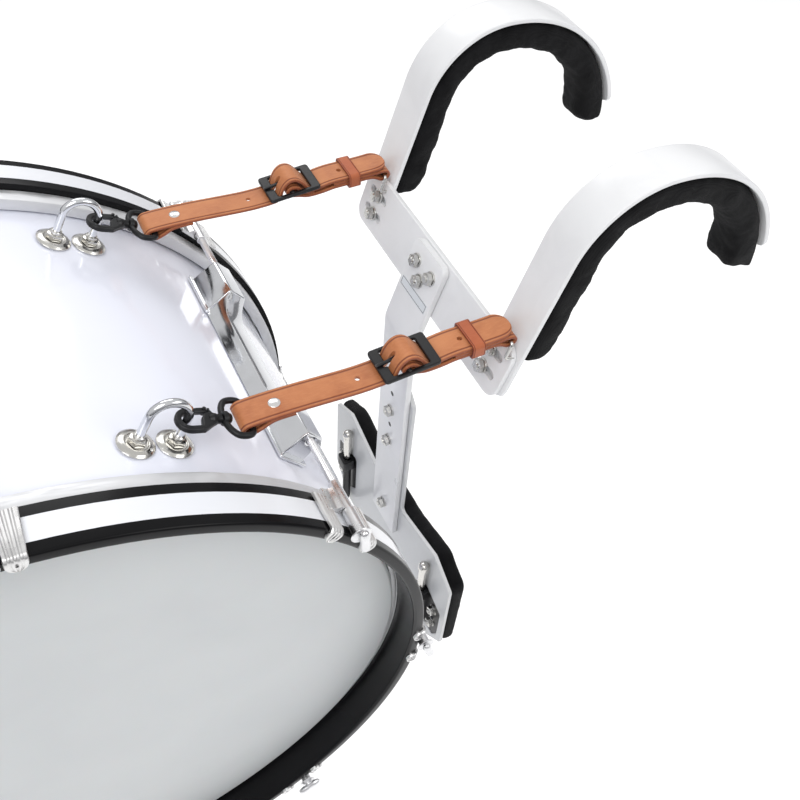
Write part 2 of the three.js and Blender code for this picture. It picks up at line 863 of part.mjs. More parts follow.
const foldShares = [
  [1.77, -0.67],
  [0.25, -1.13],
  [-0.91, -0.95],
  [-1.52, -0.04],
  [-0.89, 0.82],
  [0.25, 1],
  [3.8, 1],
];
const tailShares = [
  [7.85, -1],
  [3.8, -1],
];
const beforeBuckleShares = [
  [-3.88, -0.17],
  [-2.12, -0.41],
  [-1.5, -0.79],
  [-1, -0.97],
  [-0.76, -0.62],
  [-0.5, 1.21],
  [-0.25, 3.28],
];
const afterBuckleShares = [
  [0.05, 4.52],
  [0.3, 3.97],
  [0.55, 2.1],
  [0.75, 0.38],
  [0.975, -0.07],
  [1.4, 0.17],
];
const upperStackShares = [
  [-1.64, 1],
  [-1, 1],
  [-0.36, 1.07],
  [-0.12, 1.21],
  [0.11, 1.14],
];
const buckleFoldShares = [
  [5.2, -1.4],
  [3.7, -1.2],
  [2.47, -0.41],
  [1.23, 0.74],
  [0, 1.01],
  [-0.77, 0.66],
  [-1.01, -0.05],
  [-0.71, -0.71],
  [0, -1.01],
  [1.64, -1.45],
  [3.56, -2.05],
  [5.2, -2.16],
  [7.67, -2.03],
];
const lowerStackShares = [
  [-1.64, -1],
  [-1, -1],
  [-0.435, -1.03],
];
const stapleFoldShares = [
  [-2.32, -0.16],
  [-0.89, -0.95],
  [0.38, -1.05],
  [1.37, -0.19],
  [1.05, 0.95],
  [-0.1, 1.4],
];
const middleStackShares = [
  [-0.29, 0],
  [-1, 0],
  [-1.64, 0],
];

const longRoute = [
  ...about(0, foldTurn, foldTurn, strapLayer, tailShares),
  ...about(0, 0, foldTurn, foldTurn, foldShares),
  ...about(buckleX, foldTurn, buckleLeftReach, strapLayer, beforeBuckleShares),
  ...about(buckleX, foldTurn, buckleRightReach, strapLayer, afterBuckleShares),
  ...about(strapLength, stackZ, keeperBack, strapLayer, upperStackShares),
];
const shortRoute = [
  ...about(buckleX, buckleZ, buckleTurn, buckleTurn, buckleFoldShares),
  ...about(strapLength, stackZ, keeperBack, strapLayer, lowerStackShares),
  ...about(strapLength, -stapleDrop, stapleTurn, stapleTurn, stapleFoldShares),
  ...about(strapLength, stackZ, keeperBack, strapLayer, middleStackShares),
];

function tipOutline(x0, x1, halfWidth, radius) {
  const shape = new THREE.Shape();
  shape.moveTo(x0, -halfWidth);
  shape.lineTo(x1 - radius, -halfWidth);
  shape.absarc(x1 - radius, -halfWidth + radius, radius, -Math.PI / 2, 0, false);
  shape.absarc(x1 - radius, halfWidth - radius, radius, 0, Math.PI / 2, false);
  shape.lineTo(x0, halfWidth);
  return shape;
}

function strapLongSolid() {
  const band = solidOf(plateY(bandOutline(smooth(longRoute), strapThickness), strapWidth));
  const planHalf = strapWidth / 2 + contactGap;
  const plan = plateZ(
    tipOutline(-foldTurn * 2 - strapThickness, strapLength + strapTipPast, planHalf, strapTipRadius),
    -strapWidth,
    strapWidth,
  );
  const top = foldTurn + strapThickness / 2;
  const tail = foldTurn - strapLayer;
  const rivet = joined([
    rodZ(rivetRadius, top - weld / 2, top + rivetHeadHeight, rivetPlace, 0, holeSides),
    rodZ(rivetRadius / 2, tail - strapThickness / 2, top, rivetPlace, 0, rodSides),
  ]);
  const holes = [buckleX - spareHoleBack, keeperX - keeperHoleBack].map((x) =>
    rodZ(strapHoleRadius, tail, strapWidth, x, 0, rodSides),
  );
  const slotHalfWidth = prongSlotWidth / 2;
  const slot = block(
    buckleX - prongSlotStart,
    buckleX - prongSlotEnd,
    -slotHalfWidth,
    slotHalfWidth,
    -strapWidth,
    strapWidth,
  );
  return cutBy(band.intersect(solidOf(plan)).add(rivet), [...holes, slot]);
}

function strapShortSolid() {
  const band = plateY(bandOutline(smooth(shortRoute), strapThickness), strapWidth);
  const room = prongSlotWidth / 2;
  const eye = buckleBarRadius + buckleEyeGap * 2 + buckleProngThickness + contactGap;
  const slot = block(
    buckleX - eye,
    buckleX + eye,
    -room,
    room,
    buckleZ - eye - overrun,
    buckleZ + eye + overrun,
  );
  return cutBy(solidOf(band), [slot]);
}

// Buckle frame and prong, in a frame at the centre bar
function buckleSolid() {
  const innerHalf = strapWidth / 2 + strapGap;
  const outerHalf = innerHalf + buckleRail;
  const left = -buckleLeftReach - buckleBar / 2;
  const right = buckleRightReach + buckleBar / 2;
  const middle = (left + right) / 2;
  const outer = roundedBox((right - left) / 2, outerHalf, buckleBar);
  const inner = roundedBox((right - left) / 2 - buckleBar, innerHalf, buckleBar / 4);
  outer.holes.push(inner);
  const frame = plateZ(outer, -buckleThickness / 2, buckleThickness / 2).translate(middle, 0, 0);
  return joined([frame, rodY(buckleBarRadius, -innerHalf - weld, innerHalf + weld, 0, 0)]);
}

function buckleProngSolid() {
  const inner = buckleBarRadius + buckleEyeGap;
  const outer = inner + buckleProngThickness;
  const half = buckleProngWidth / 2;
  const rest = buckleThickness / 2 + contactGap;
  const tip = -buckleLeftReach - buckleBar / 2 - weld;
  const arm = outline([
    [0, inner + buckleEyeGap],
    [-inner, inner * 0.7],
    [tip, rest],
    [tip, rest + buckleProngThickness * 0.8],
    [-inner, rest + buckleProngThickness],
    [0, outer],
  ]);
  const body = joined([rodY(outer, -half, half, 0, 0), plateY(arm, half * 2)]);
  return cutBy(body, [rodY(inner, -half - overrun, half + overrun, 0, 0)]);
}

function keeperGeometry() {
  const low = stackZ - strapLayer - strapThickness / 2 - strapGap;
  const high = stackZ + strapLayer + strapThickness / 2 + strapGap;
  const inner = strapWidth / 2 + strapGap;
  const shape = outline([
    [-inner - keeperWall, low - keeperWall],
    [inner + keeperWall, low - keeperWall],
    [inner + keeperWall, high + keeperWall],
    [-inner - keeperWall, high + keeperWall],
  ]);
  shape.holes.push(
    outline([
      [-inner, low],
      [inner, low],
      [inner, high],
      [-inner, high],
    ]),
  );
  return plateX(shape, keeperX - keeperLength / 2, keeperX + keeperLength / 2);
}

// Carrier: the leaning frame sits at the spine's bend, with Z along the leaning plates
const lean = new THREE.Group();
lean.position.set(spineFront, 0, bendZ);
lean.rotation.y = THREE.MathUtils.degToRad(carrierLean);
const crossbarFront = spineThickness + contactGap;
const crossbarBack = crossbarFront + crossbarThickness;
const armFront = crossbarBack + contactGap;
const plateFront = spineFront + spineThickness + contactGap;
const plateBack = plateFront + bellyPlateThickness;

// A bolt along X: its shaft from x0 to x1, with a washer and a nut at x0 that face -X
function boltPieces(x0, x1, y, z) {
  const washer = x0 - boltWasherThickness;
  return [
    rodX(boltRadius, washer - weld, x1, y, z, rodSides),
    rodX(boltWasherRadius, washer, x0, y, z, rodSides),
    rodX(boltHeadRadius, washer - boltHeadHeight, washer, y, z, nutSides),
  ];
}

function spineSolid() {
  const half = spineWidth / 2;
  const straight = block(0, spineThickness, -half, half, -spineFoot, 0);
  const headHalf = spineHead / 2;
  const head = plateX(roundedBox(half, headHalf, spineHeadCorner), 0, spineThickness);
  head.translate(0, 0, headHalf);
  const square = block(0, spineThickness, -half, half, 0, headHalf);
  const leaning = joined([head, square]);
  const bolts = [
    [headBoltSide, headBoltHigh],
    [0, headBoltLow],
    [-headBoltSide, headBoltHigh],
  ];
  const nuts = bolts.flatMap(([y, z]) => boltPieces(weld / 2, spineThickness, y, z)).map(solidOf);
  const top = nuts.reduce((sum, nut) => sum.add(nut), leaning);
  const turnedTop = solidOf(geometryOf(top).rotateY(THREE.MathUtils.degToRad(carrierLean)));
  const low = [spineBoltHigh, spineBoltMiddle, spineBoltLow]
    .flatMap((z) => boltPieces(weld / 2, spineThickness, 0, z - bendZ))
    .map(solidOf);
  const body = low.reduce((sum, nut) => sum.add(nut), solidOf(straight).add(turnedTop));
  return cutBy(
    body,
    [spineHoleHigh, spineHoleLow].map((z) =>
      rodX(spineHoleRadius, -overrun, spineThickness + overrun, 0, z - bendZ),
    ),
  );
}

function stapleGeometry(side) {
  const turn = THREE.MathUtils.degToRad(carrierLean);
  const dx = stapleX - spineFront;
  const dz = stapleZ - bendZ;
  const x = dx * Math.cos(turn) - dz * Math.sin(turn);
  const z = dx * Math.sin(turn) + dz * Math.cos(turn);
  const reach = strapWidth / 2 + strapGap + stapleWire;
  const mid = side * strapPlane;
  const shoulder = stapleWire * 2;
  const foot = crossbarFront + crossbarThickness / 2;
  const legs = (sign) => [
    [foot, mid + sign * reach, stapleFoot],
    [x + shoulder, mid + sign * reach, stapleFoot],
    [x, mid + sign * reach, stapleFoot + shoulder],
    [x, mid + sign * reach, z - shoulder],
    [x, mid + sign * (reach - shoulder / 2), z],
  ];
  return wire([...legs(-1), ...legs(1).reverse()], stapleWire, stapleSteps);
}

function crossbarSolid() {
  const shape = roundedBox(crossbarHalf, crossbarHeight / 2, crossbarCorner);
  const plate = plateX(shape, crossbarFront, crossbarBack).translate(0, 0, crossbarCentre);
  const slots = [];
  for (const side of Object.values(sides)) {
    for (const row of [-slotRow, slotRow]) {
      const shape = roundedBox(slotHalfLength, slotWidth / 2, slotWidth / 2);
      const slot = plateX(shape, crossbarFront - overrun, crossbarBack + overrun);
      slots.push(slot.translate(0, side * slotCentre, crossbarCentre + row));
    }
  }
  const body = cutBy(solidOf(plate), slots);
  return Object.values(sides).reduce((sum, side) => sum.add(solidOf(stapleGeometry(side))), body);
}

// The arm's outer line in the leaning frame: straight, bend, then the shoulder arch.
// Each point has its unit normal, which points away from the shoulder.
function armLine(from, overhang = 0) {
  const line = [];
  const straightEnd = armFoot + armStraight;
  line.push({ x: armFront, z: from, nx: -1, nz: 0 });
  const pieces = (straightEnd - from) / (armBendRadius / 2);
  for (let i = 1; i < pieces; i += 1) {
    line.push({ x: armFront, z: from + ((straightEnd - from) * i) / pieces, nx: -1, nz: 0 });
  }
  const bendX = armFront + armBendRadius;
  const bendEnd = THREE.MathUtils.degToRad(180 - armBendTurn);
  for (let i = 0; i <= arcSteps; i += 1) {
    const turn = Math.PI + ((bendEnd - Math.PI) * i) / arcSteps;
    const [nx, nz] = [Math.cos(turn), Math.sin(turn)];
    line.push({ x: bendX + armBendRadius * nx, z: straightEnd + armBendRadius * nz, nx, nz });
  }
  const joint = line[line.length - 1];
  const centreX = joint.x - archRadius * joint.nx;
  const centreZ = joint.z - archRadius * joint.nz;
  const turnSpan = THREE.MathUtils.degToRad(archTurn) + overhang / archRadius;
  const archSteps = Math.round(arcSteps * 1.4);
  for (let i = 1; i <= archSteps; i += 1) {
    const turn = bendEnd - (turnSpan * i) / archSteps;
    const [nx, nz] = [Math.cos(turn), Math.sin(turn)];
    line.push({ x: centreX + archRadius * nx, z: centreZ + archRadius * nz, nx, nz });
  }
  return line;
}

function armSolid(side) {
  const line = armLine(armFoot);
  const outer = line.map((p) => [p.x, p.z]);
  const inner = line.map((p) => [p.x - armThickness * p.nx, p.z - armThickness * p.nz]).reverse();
  const plate = plateY(outline([...outer, ...inner]), armWidth, side * armCentre);
  const bolts = [];
  for (const row of [-slotRow, slotRow]) {
    bolts.push(
      ...boltPieces(crossbarFront - contactGap, armFront + weld, side * armBoltSide, crossbarCentre + row),
    );
  }
  return joined([plate, ...bolts]);
}

// A pad lofted along a line: the flat side faces the plate and the other side is crowned
function armPadGeometry(side) {
  const line = armLine(armPadFoot, armPadOverhang);
  const smoothed = (vectors) => new THREE.CatmullRomCurve3(vectors, false, "centripetal");
  const curve = smoothed(line.map((p) => new THREE.Vector3(p.x, 0, p.z)));
  const normals = smoothed(line.map((p) => new THREE.Vector3(p.nx, 0, p.nz)));
  const positions = [];
  const index = [];
  for (let i = 0; i <= armPadStations; i += 1) {
    const share = i / armPadStations;
    const place = curve.getPoint(share);
    const normal = normals.getPoint(share).normalize();
    const endShare = Math.min(1, Math.sin(Math.PI * share) * armPadRound);
    const fill = Math.sqrt(Math.max(0, 1 - (1 - endShare) ** 2)) * 0.85 + 0.15;
    const bulb = armPadBulb * Math.max(0, (share - 0.8) / 0.2) ** 2;
    const lump = armPadLump * Math.sin(share * Math.PI * 2 * armPadLumps);
    const thick = (armPadThickness + bulb + lump) * fill;
    const half = (armPadWidth / 2) * (0.85 + 0.15 * fill);
    for (let k = 0; k < armPadSides; k += 1) {
      const turn = ((k + 0.5) / armPadSides) * Math.PI * 2;
      const across = Math.sign(Math.cos(turn)) * Math.abs(Math.cos(turn)) ** 0.6 * half;
      const deep = 0.5 + 0.5 * Math.sign(Math.sin(turn)) * Math.abs(Math.sin(turn)) ** 0.7;
      const depth = armThickness + contactGap + deep * thick;
      positions.push(place.x - normal.x * depth, side * armCentre + across, place.z - normal.z * depth);
    }
  }
  const last = armPadStations * armPadSides;
  for (let i = 0; i < armPadStations; i += 1) {
    for (let k = 0; k < armPadSides; k += 1) {
      const a = i * armPadSides + k;
      const b = i * armPadSides + ((k + 1) % armPadSides);
      index.push(a, b, a + armPadSides, b, b + armPadSides, a + armPadSides);
    }
  }
  for (let k = 1; k < armPadSides - 1; k += 1) {
    index.push(0, k + 1, k, last, last + k, last + k + 1);
  }
  const geometry = new THREE.BufferGeometry();
  geometry.setAttribute("position", new THREE.Float32BufferAttribute(positions, 3));
  geometry.setIndex(index);
  return geometry;
}

// Belly plate outline in Y and Z, for one side and mirrored for the other
function wingPoints(margin) {
  return [
    [wingFootReach + margin, wingFoot - margin],
    [wingReach + margin, wingLow],
    [wingReach + margin, wingShoulder],
    [wingTopReach + margin / 2, wingTop + margin],
  ];
}

function mirrored(points) {
  return [...points, ...points.map(([y, z]) => [-y, z]).reverse()];
}

function bellyPlateSolid() {
  const points = mirrored([
    ...wingPoints(0),
    [stemHalf, wingNotch],
    [stemHalf, stemTop - stemChamfer],
    [stemHalf - stemChamfer, stemTop],
  ]);
  const plate = plateX(outline(points), plateFront, plateBack);
  const body = [plate];
  const cuts = [];
  for (const side of Object.values(sides)) {
    const corners = [
      [windowInner, windowBottom + windowSlope],
      [windowInner + windowSlope, windowBottom],
      [windowOuter - windowSlope / 2, windowBottom],
      [windowOuter, windowBottom + windowSlope],
      [windowOuter, windowTop - windowSlope],
      [windowInner, windowTop],
    ];
    const shape = outline(corners.map(([y, z]) => [side * y, z]));
    cuts.push(plateX(shape, plateFront - overrun, plateFront + windowDepth));
    const y = side * jRodSide;
    const outer = jRodRadius + runningGap + jClampWall;
    const clampLow = jClampTop - jClampLength;
    body.push(block(rodLineX - outer, plateFront + weld, y - outer, y + outer, clampLow, jClampTop));
  }
  const holes = Object.values(sides).map((side) =>
    rodZ(
      jRodRadius + runningGap,
      jClampTop - jClampLength - overrun,
      jClampTop + overrun,
      rodLineX,
      side * jRodSide,
    ),
  );
  const windowed = cutBy(solidOf(plate), cuts);
  const clamped = body.slice(1).map(solidOf).reduce((sum, clamp) => sum.add(clamp), windowed);
  const bolts = Object.values(sides).flatMap((side) =>
    [clampBoltHigh, clampBoltLow].flatMap((z) =>
      boltPieces(plateFront + windowDepth + weld / 2, plateBack, side * clampBoltSide, z),
    ),
  );
  const bolted = bolts.map(solidOf).reduce((sum, bolt) => sum.add(bolt), clamped);
  return cutBy(bolted, holes);
}

const rodLineX = plateFront - jRodRadius - runningGap * 2;

function bellyPadSolid() {
  const grow = bellyPadMargin - bellyPadRound;
  const points = mirrored([...wingPoints(grow), [stemHalf, wingNotch + grow]]);
  const pad = new THREE.ExtrudeGeometry(outline(points), {
    depth: bellyPadThickness - bellyPadRound * 2,
    bevelEnabled: true,
    bevelThickness: bellyPadRound,
    bevelSize: bellyPadRound,
    bevelSegments: 3,
  });
  const turn = new THREE.Matrix4().makeBasis(
    new THREE.Vector3(0, 1, 0),
    new THREE.Vector3(0, 0, 1),
    new THREE.Vector3(1, 0, 0),
  );
  return pad.applyMatrix4(turn).translate(plateBack + contactGap + bellyPadRound, 0, 0);
}

function jRodSolid(side) {
  const y = side * jRodSide;
  const bendX = rodLineX - jRodBend;
  const points = [
    [rodLineX, y, jRodTop],
    [rodLineX, y, (jRodTop + jRodBottom) / 2],
    [rodLineX, y, jRodBottom],
  ];
  for (let i = 1; i <= arcSteps; i += 1) {
    const turn = (Math.PI * i) / arcSteps;
    points.push([bendX + jRodBend * Math.cos(turn), y, jRodBottom - jRodBend * Math.sin(turn)]);
  }
  points.push([bendX - jRodBend, y, jRodBottom + jRodTail]);
  const dome = new THREE.SphereGeometry(jRodRadius, holeSides, nutSides).translate(rodLineX, y, jRodTop);
  return joined([wire(points, jRodRadius, jRodSteps, holeSides), dome]);
}

for (const [sideName, side] of Object.entries(sides)) {
  const hookFrame = new THREE.Group();
  hookFrame.position.set(legX, side * strapPlane, legZ);
  hookFrame.rotation.y = hookTurn;
  addPiece(`hook_${sideName}`, hookSolid(), colours.dark, hookFrame);
  addPiece(`hook_gate_${sideName}`, gateGeometry(), colours.dark, hookFrame);
  addPiece(`hook_loop_${sideName}`, strapLoopSolid(), colours.dark, hookFrame);
  model.add(hookFrame);

  const strapFrame = new THREE.Group();
  strapFrame.position.set(barX, side * strapPlane, barZ);
  strapFrame.rotation.y = strapTurn;
  addPiece(`strap_long_${sideName}`, strapLongSolid(), colours.leather, strapFrame);
  addPiece(`strap_short_${sideName}`, strapShortSolid(), colours.leather, strapFrame);
  addPiece(`keeper_${sideName}`, keeperGeometry(), colours.keeper, strapFrame);
  const buckleFrame = new THREE.Group();
  buckleFrame.position.set(buckleX, 0, buckleZ);
  buckleFrame.rotation.y = THREE.MathUtils.degToRad(-buckleTilt);
  addPiece(`buckle_${sideName}`, buckleSolid(), colours.dark, buckleFrame);
  addPiece(`buckle_prong_${sideName}`, buckleProngSolid(), colours.dark, buckleFrame);
  strapFrame.add(buckleFrame);
  model.add(strapFrame);

  addPiece(`arm_${sideName}`, armSolid(side), colours.paint, lean);
  addPiece(`arm_pad_${sideName}`, armPadGeometry(side), colours.foam, lean);
  addPiece(`j_rod_${sideName}`, jRodSolid(side), colours.chrome);
}

addPiece("spine", spineSolid(), colours.paint).position.set(spineFront, 0, bendZ);
addPiece("crossbar", crossbarSolid(), colours.paint, lean);
addPiece("belly_plate", bellyPlateSolid(), colours.paint);
addPiece("belly_pad", bellyPadSolid(), colours.foam);
model.add(lean);

model.position.set(-restX, 0, -restZ);
const marchingDrum = new THREE.Group();
marchingDrum.add(model);

export default marchingDrum;
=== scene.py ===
"""Looks for a marching bass drum on a padded shoulder carrier.

Shapes are written in drum-centred millimetres: the drum's axis along Y, the wearer at +X, Z up.
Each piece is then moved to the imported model's frame, in metres, and rides on its CAD body.
"""

import math

import bpy
import numpy as np
from mathutils import Matrix, Vector, noise


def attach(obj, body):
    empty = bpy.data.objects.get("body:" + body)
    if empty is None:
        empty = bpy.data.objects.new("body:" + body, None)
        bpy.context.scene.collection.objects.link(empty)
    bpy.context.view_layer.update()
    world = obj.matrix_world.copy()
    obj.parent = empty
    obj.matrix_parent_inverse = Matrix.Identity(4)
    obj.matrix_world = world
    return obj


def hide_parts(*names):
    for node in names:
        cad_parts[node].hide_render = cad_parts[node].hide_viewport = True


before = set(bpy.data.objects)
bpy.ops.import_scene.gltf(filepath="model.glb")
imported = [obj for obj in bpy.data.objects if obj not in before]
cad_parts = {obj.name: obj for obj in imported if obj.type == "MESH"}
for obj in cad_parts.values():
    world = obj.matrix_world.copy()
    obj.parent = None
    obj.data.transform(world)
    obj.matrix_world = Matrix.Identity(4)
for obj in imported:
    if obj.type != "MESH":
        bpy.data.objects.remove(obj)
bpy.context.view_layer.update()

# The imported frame's origin in drum-centred millimetres, and its unit
rest_x = 516
rest_z = 355
millimetre = 0.001

# Resolution, in counts
round_steps = 160
boss_steps = 32
wire_steps = 20
small_steps = 20
route_steps = 10
key_steps = 25
strap_tip_steps = 15
pad_rows = 70
pad_columns = 24
corner_steps = 6
edge_segments = 3
coarse_corner_steps = 2
edge_corner_steps = 3
sharp_angle = 32
cut_sharp_angle = 40

# Common clearances and edges
contact_gap = 0.3
running_gap = 0.5
weld = 1
plate_edge = 0.6
end_dome_share = 0.6
least_share = 0.05
axis_radius = 0.001

# Shell, heads, flesh hoops and counter hoops
shell_radius = 306
shell_wall = 7
shell_depth = 305
bearing_bevel = 2.5
bearing_slope = 4.5
bearing_round = 0.6
film_thickness = 0.8
film_collar = 9.5
film_corner = 3.5
film_inset = 0.2
flesh_wall = 9.6
flesh_depth = 12.7
flesh_setback = 3.2
flesh_channel = 1.2
flesh_round = 0.8
hoop_wall = 10
hoop_ledge = 5
hoop_depth = 33
hoop_round = 2
hoop_inner_round = 3
hoop_back_round = 0.6
inlay_start = 7.8
inlay_end = 8.2
inlay_height = 0.12
inlay_sunk = 0.4
inlay_bevel = 0.1

# Key rods
rod_radius = 3
thread_cover = 31
thread_pitch = 1.2
thread_height = 0.35
sleeve_radius = 5
neck_radius = 4.2
neck_length = 25
rod_hoop_gap = 0.6
collar_radius = 8
collar_thickness = 2
key_radius = 4
key_length = 26
key_stem_radius = 3.5
key_stem_length = 4
rod_chamfer = 0.5
sleeve_chamfer = 0.4
collar_dish = 1.6
collar_hollow = 0.1
collar_edge = 0.4
key_fillet = 1.2
key_end_share = 0.9
key_waist_share = 0.12
key_oval_share = 0.82

# Claws
prong_offset = 20.5
prong_width = 13
prong_thickness = 2.4
prong_front_thickness = 2.2
prong_reach = 33
prong_hook = 12
prong_bend = 4
groove_depth = 0.55
prong_flare = 0.3
dot_radius = 0.9
dot_height = 0.05
dot_lift = 0.2
dot_drop = 4.5
bridge_length = 18
bridge_width = 46
eye_wall = 2.8
cradle_lip = 1.4
cradle_foot = 3
cradle_round = 1.2
cradle_mouth_round = 0.5
cradle_foot_round = 2.5
web_edge = 0.6
web_crown = 1.2
web_round = 0.4

# Lugs
first_lug_angle = 39
lug_count = 8
lug_length = 198
lug_base_width = 28
foot_thickness = 5
housing_length = 39
lug_web = 9.6
boss_radius = 8
bar_width = 20
bar_height = 9
housing_top = 19
arch_rise = 12
arch_run = 24
arch_power = 2.4
lug_bevel = 1.4
foot_inset = 1.5
foot_taper = 2.2
lug_foot_round = 3
lug_top_round = 2.6
lug_pad_side = 1
lug_pad_end = 3.6
lug_pad_round = 2.5
lug_pad_height = 2.8
lug_pad_edge = 0.7
bar_foot_inset = 1.6
bar_foot_gap = 0.2
bar_foot_bevel = 0.3
bar_waist = 0.9
bar_edge = 1.1
bar_corner = 0.35
bar_crown = 1.2
bar_narrowing = 0.6
lug_screw_side = 78
screw_washer_radius = 8
screw_head_radius = 5
screw_head_height = 4
inside_washer_height = 1.5

# Air vent
vent_angle = -118.5
vent_bore = 5
vent_tube = 7.5
vent_flange = 11
vent_flange_height = 1.8
vent_lip = 0.6
vent_inner_share = 0.8

# U handles
handle_angle = 61.5
strap_plane = 104
leg_spacing = 27
handle_wire = 3
handle_height = 41
washer_radius = 13
washer_height = 3
nut_radius = 6.4
nut_height = 5
leg_inside = 9
leg_collar_radius = 4.3
leg_collar_height = 2
leg_collar_bevel = 0.5
leg_collar_slope = 0.6
dish_lip = 1.5
dish_round = 0.4
inside_nut_washer_radius = 9

# Snap hooks, gates and wire rings
hook_seat = 22
hook_thickness = 4.4
hook_width = 20
hook_wire = 4.5
hook_slot = 20
hook_body = 28
hook_neck_radius = 3.4
hook_neck_length = 4
hook_stem_radius = 2.1
hook_head_radius = 3.8
hook_head_length = 2
hook_head_taper = 0.7
hook_neck_flare = 0.6
neck_bevel = 0.4
hook_shoulder = 0.8
hook_shoulder_run = 2
hook_pivot_bevel = 0.6
hook_pivot_drop = 1.4
hook_pivot_slope = 0.2
hook_cheek_run = 5
hook_cheek_height = 1.1
hook_edge = 1.3
hook_rivet_radius = 1.3
hook_rivet_height = 0.5
hook_rivet_bevel = 0.2
hook_rivet_place = 2
hook_rivet_sunk = 0.05
gate_edge = 1.1
gate_pin_radius = 1.3
gate_pin_height = 0.9
gate_pin_lip = 0.2
barrel_bore_gap = 0.2
barrel_round = 1
gate_width = 4
gate_pivot_inset = 2.6
gate_gap_start = 3.2
ring_wire = 2.3
ring_width = 36
barrel_radius = 5
barrel_length = 4

# Straps, keepers and buckles
strap_run_z = 269.5
bar_x = 207
strap_width = 24.2
strap_thickness = 2.5
strap_gap = 0.4
strap_tip_radius = 11
strap_tip_x = 409.2
rivet_x = 227
rivet_radius = 4.2
rivet_height = 0.8
strap_hole_radius = 2
strap_hole_places = [288, 368]
prong_slot_place = 312.2
prong_slot_half = 4.2
prong_slot_side = 2
prong_slot_round = 1.9
fold_slot_side = 2.4
fold_slot_round = 1
hole_cutter_low = 8
hole_cutter_high = 12
slot_cutter_high = 30
fold_cutter_gap = 2
buckle_x = 322
buckle_z = 271.5
buckle_tilt = 4
buckle_left = 16
buckle_right = 20
buckle_bar = 7.6
buckle_rail = 3.2
buckle_thickness = 3.2
notch_depth = 2.6
buckle_bar_radius = 2
buckle_prong_width = 3.4
buckle_prong_thickness = 2.4
buckle_eye_gap = 0.4
buckle_prong_edge = 0.1
buckle_prong_end = 0.4
buckle_prong_step = 1.2
buckle_prong_middle = 10
buckle_prong_round = 0.9
buckle_window_round = 1.2
buckle_round = 2.6
buckle_edge = 0.8
notch_mouth_round = 0.5
notch_floor_round = 0.8
keeper_x = 377
keeper_length = 10.5
keeper_wall = 2
keeper_corner = 2.2
keeper_low = 265.2
keeper_high = 271

# Carrier
carrier_lean = 17
spine_front = 377
bend_z = 174
spine_width = 48
spine_thickness = 6
spine_foot = 295
spine_head = 84
spine_head_corner = 7
spine_hole_radius = 2.6
spine_turn_radius = 24
spine_end_gap = 0.2
spine_edge = 0.9
spine_bolt_heights = [67, 21, -91]
spine_hole_heights = [91, 45]
# Thickness of the thin black discs of painted shade that stand for the spine's height holes
hole_shade_height = 0.08
crossbar_height = 50
crossbar_centre = 61.5
crossbar_half = 121
crossbar_thickness = 4.5
crossbar_corner = 12
carrier_edge = 0.7
slot_half = 14
slot_centre = 98
slot_width = 7
slot_row = 8.9
bolt_radius = 2.8
bolt_head_radius = 5.6
bolt_head_height = 4.5
bolt_washer_radius = 6.2
bolt_washer_height = 1.4
head_bolt_side = 12
head_bolt_low = 56
head_bolt_high = 68
washer_edge = 0.3
nut_crown_height = 0.15
bolt_end_height = 1.2
label_width = 42
label_height = 9
label_centre = 42
label_thickness = 0.25
label_edge = 0.1
label_gap = 0.05
label_border_thickness = 0.12
label_border_edge = 0.02
label_border_rise = 0.2
staple_wire = 1.5
staple_x = 405.3
staple_z = 263.9
staple_foot = 80
staple_corner = 2.6
arm_centre = 106
arm_width = 36
arm_thickness = 4
arm_foot = 38
arm_straight = 130
arm_bend_radius = 75
arm_bend_turn = 73
arch_radius = 125
arch_turn = 80
arm_bolt_side = 97
arm_tip_round = 10
arm_edge = 1.1

# Arm pads, and how every pad is blown up and puckered
pad_width = 39
pad_thickness = 28
pad_foot = 72
pad_overhang = 20
pad_bulb = 9
pad_heel = 4
pad_heel_share = 0.4
pad_squeeze = 3
pad_held = 2.5
pad_voxel = 4.5
belly_voxel = 5
pad_growth = 5
pucker_depth = 1.5
pucker_size = 16
belly_pucker_depth = 0.5
belly_pucker_size = 22
pucker_start = 2
pucker_rise = 10
belly_pucker_start = 3
belly_pucker_rise = 8
cloth_pressure = 4.0
cloth_quality = 6
cloth_frames = 20

# Belly plate, pad and J rods
plate_thickness = 4
plate_corner = 5
window_round = 3
backing_setback = 0.8
backing_edge = 0.3
stem_half = 28.5
stem_foot_half = 27
stem_top = 108
stem_chamfer = 11
wing_top = -57
wing_top_reach = 98
wing_notch = -76
wing_reach = 133
wing_shoulder = -77
wing_low = -186
wing_foot_reach = 103
wing_foot = -220
window_inner = 80
window_outer = 125
window_top = -120
window_bottom = -196
window_slope = 16
clamp_bolt_side = 112
clamp_bolt_high = -148
clamp_bolt_low = -174
belly_pad_thickness = 20
belly_pad_squeeze = 3
belly_pad_edge = 4.5
belly_pad_corner = 6
belly_pad_held = 11
belly_pad_margin = 3
belly_pad_overhang = 1
j_rod_radius = 4.8
j_rod_side = 92
j_rod_top = -78
j_rod_bottom = -200
j_coat_top = -134
j_cap_radius = 5.8
j_cap_height = 9
j_cap_inset = 0.6
j_cap_neck = 0.2
j_cap_foot = 1.2
j_cap_wall = 4
j_rod_bend = 17
j_rod_tail = 14
j_clamp_wall = 3.5
j_clamp_gap = 0.2
j_clamp_round = 2.4
j_clamp_edge = 0.8
j_clamp_length = 16
j_clamp_top = -126

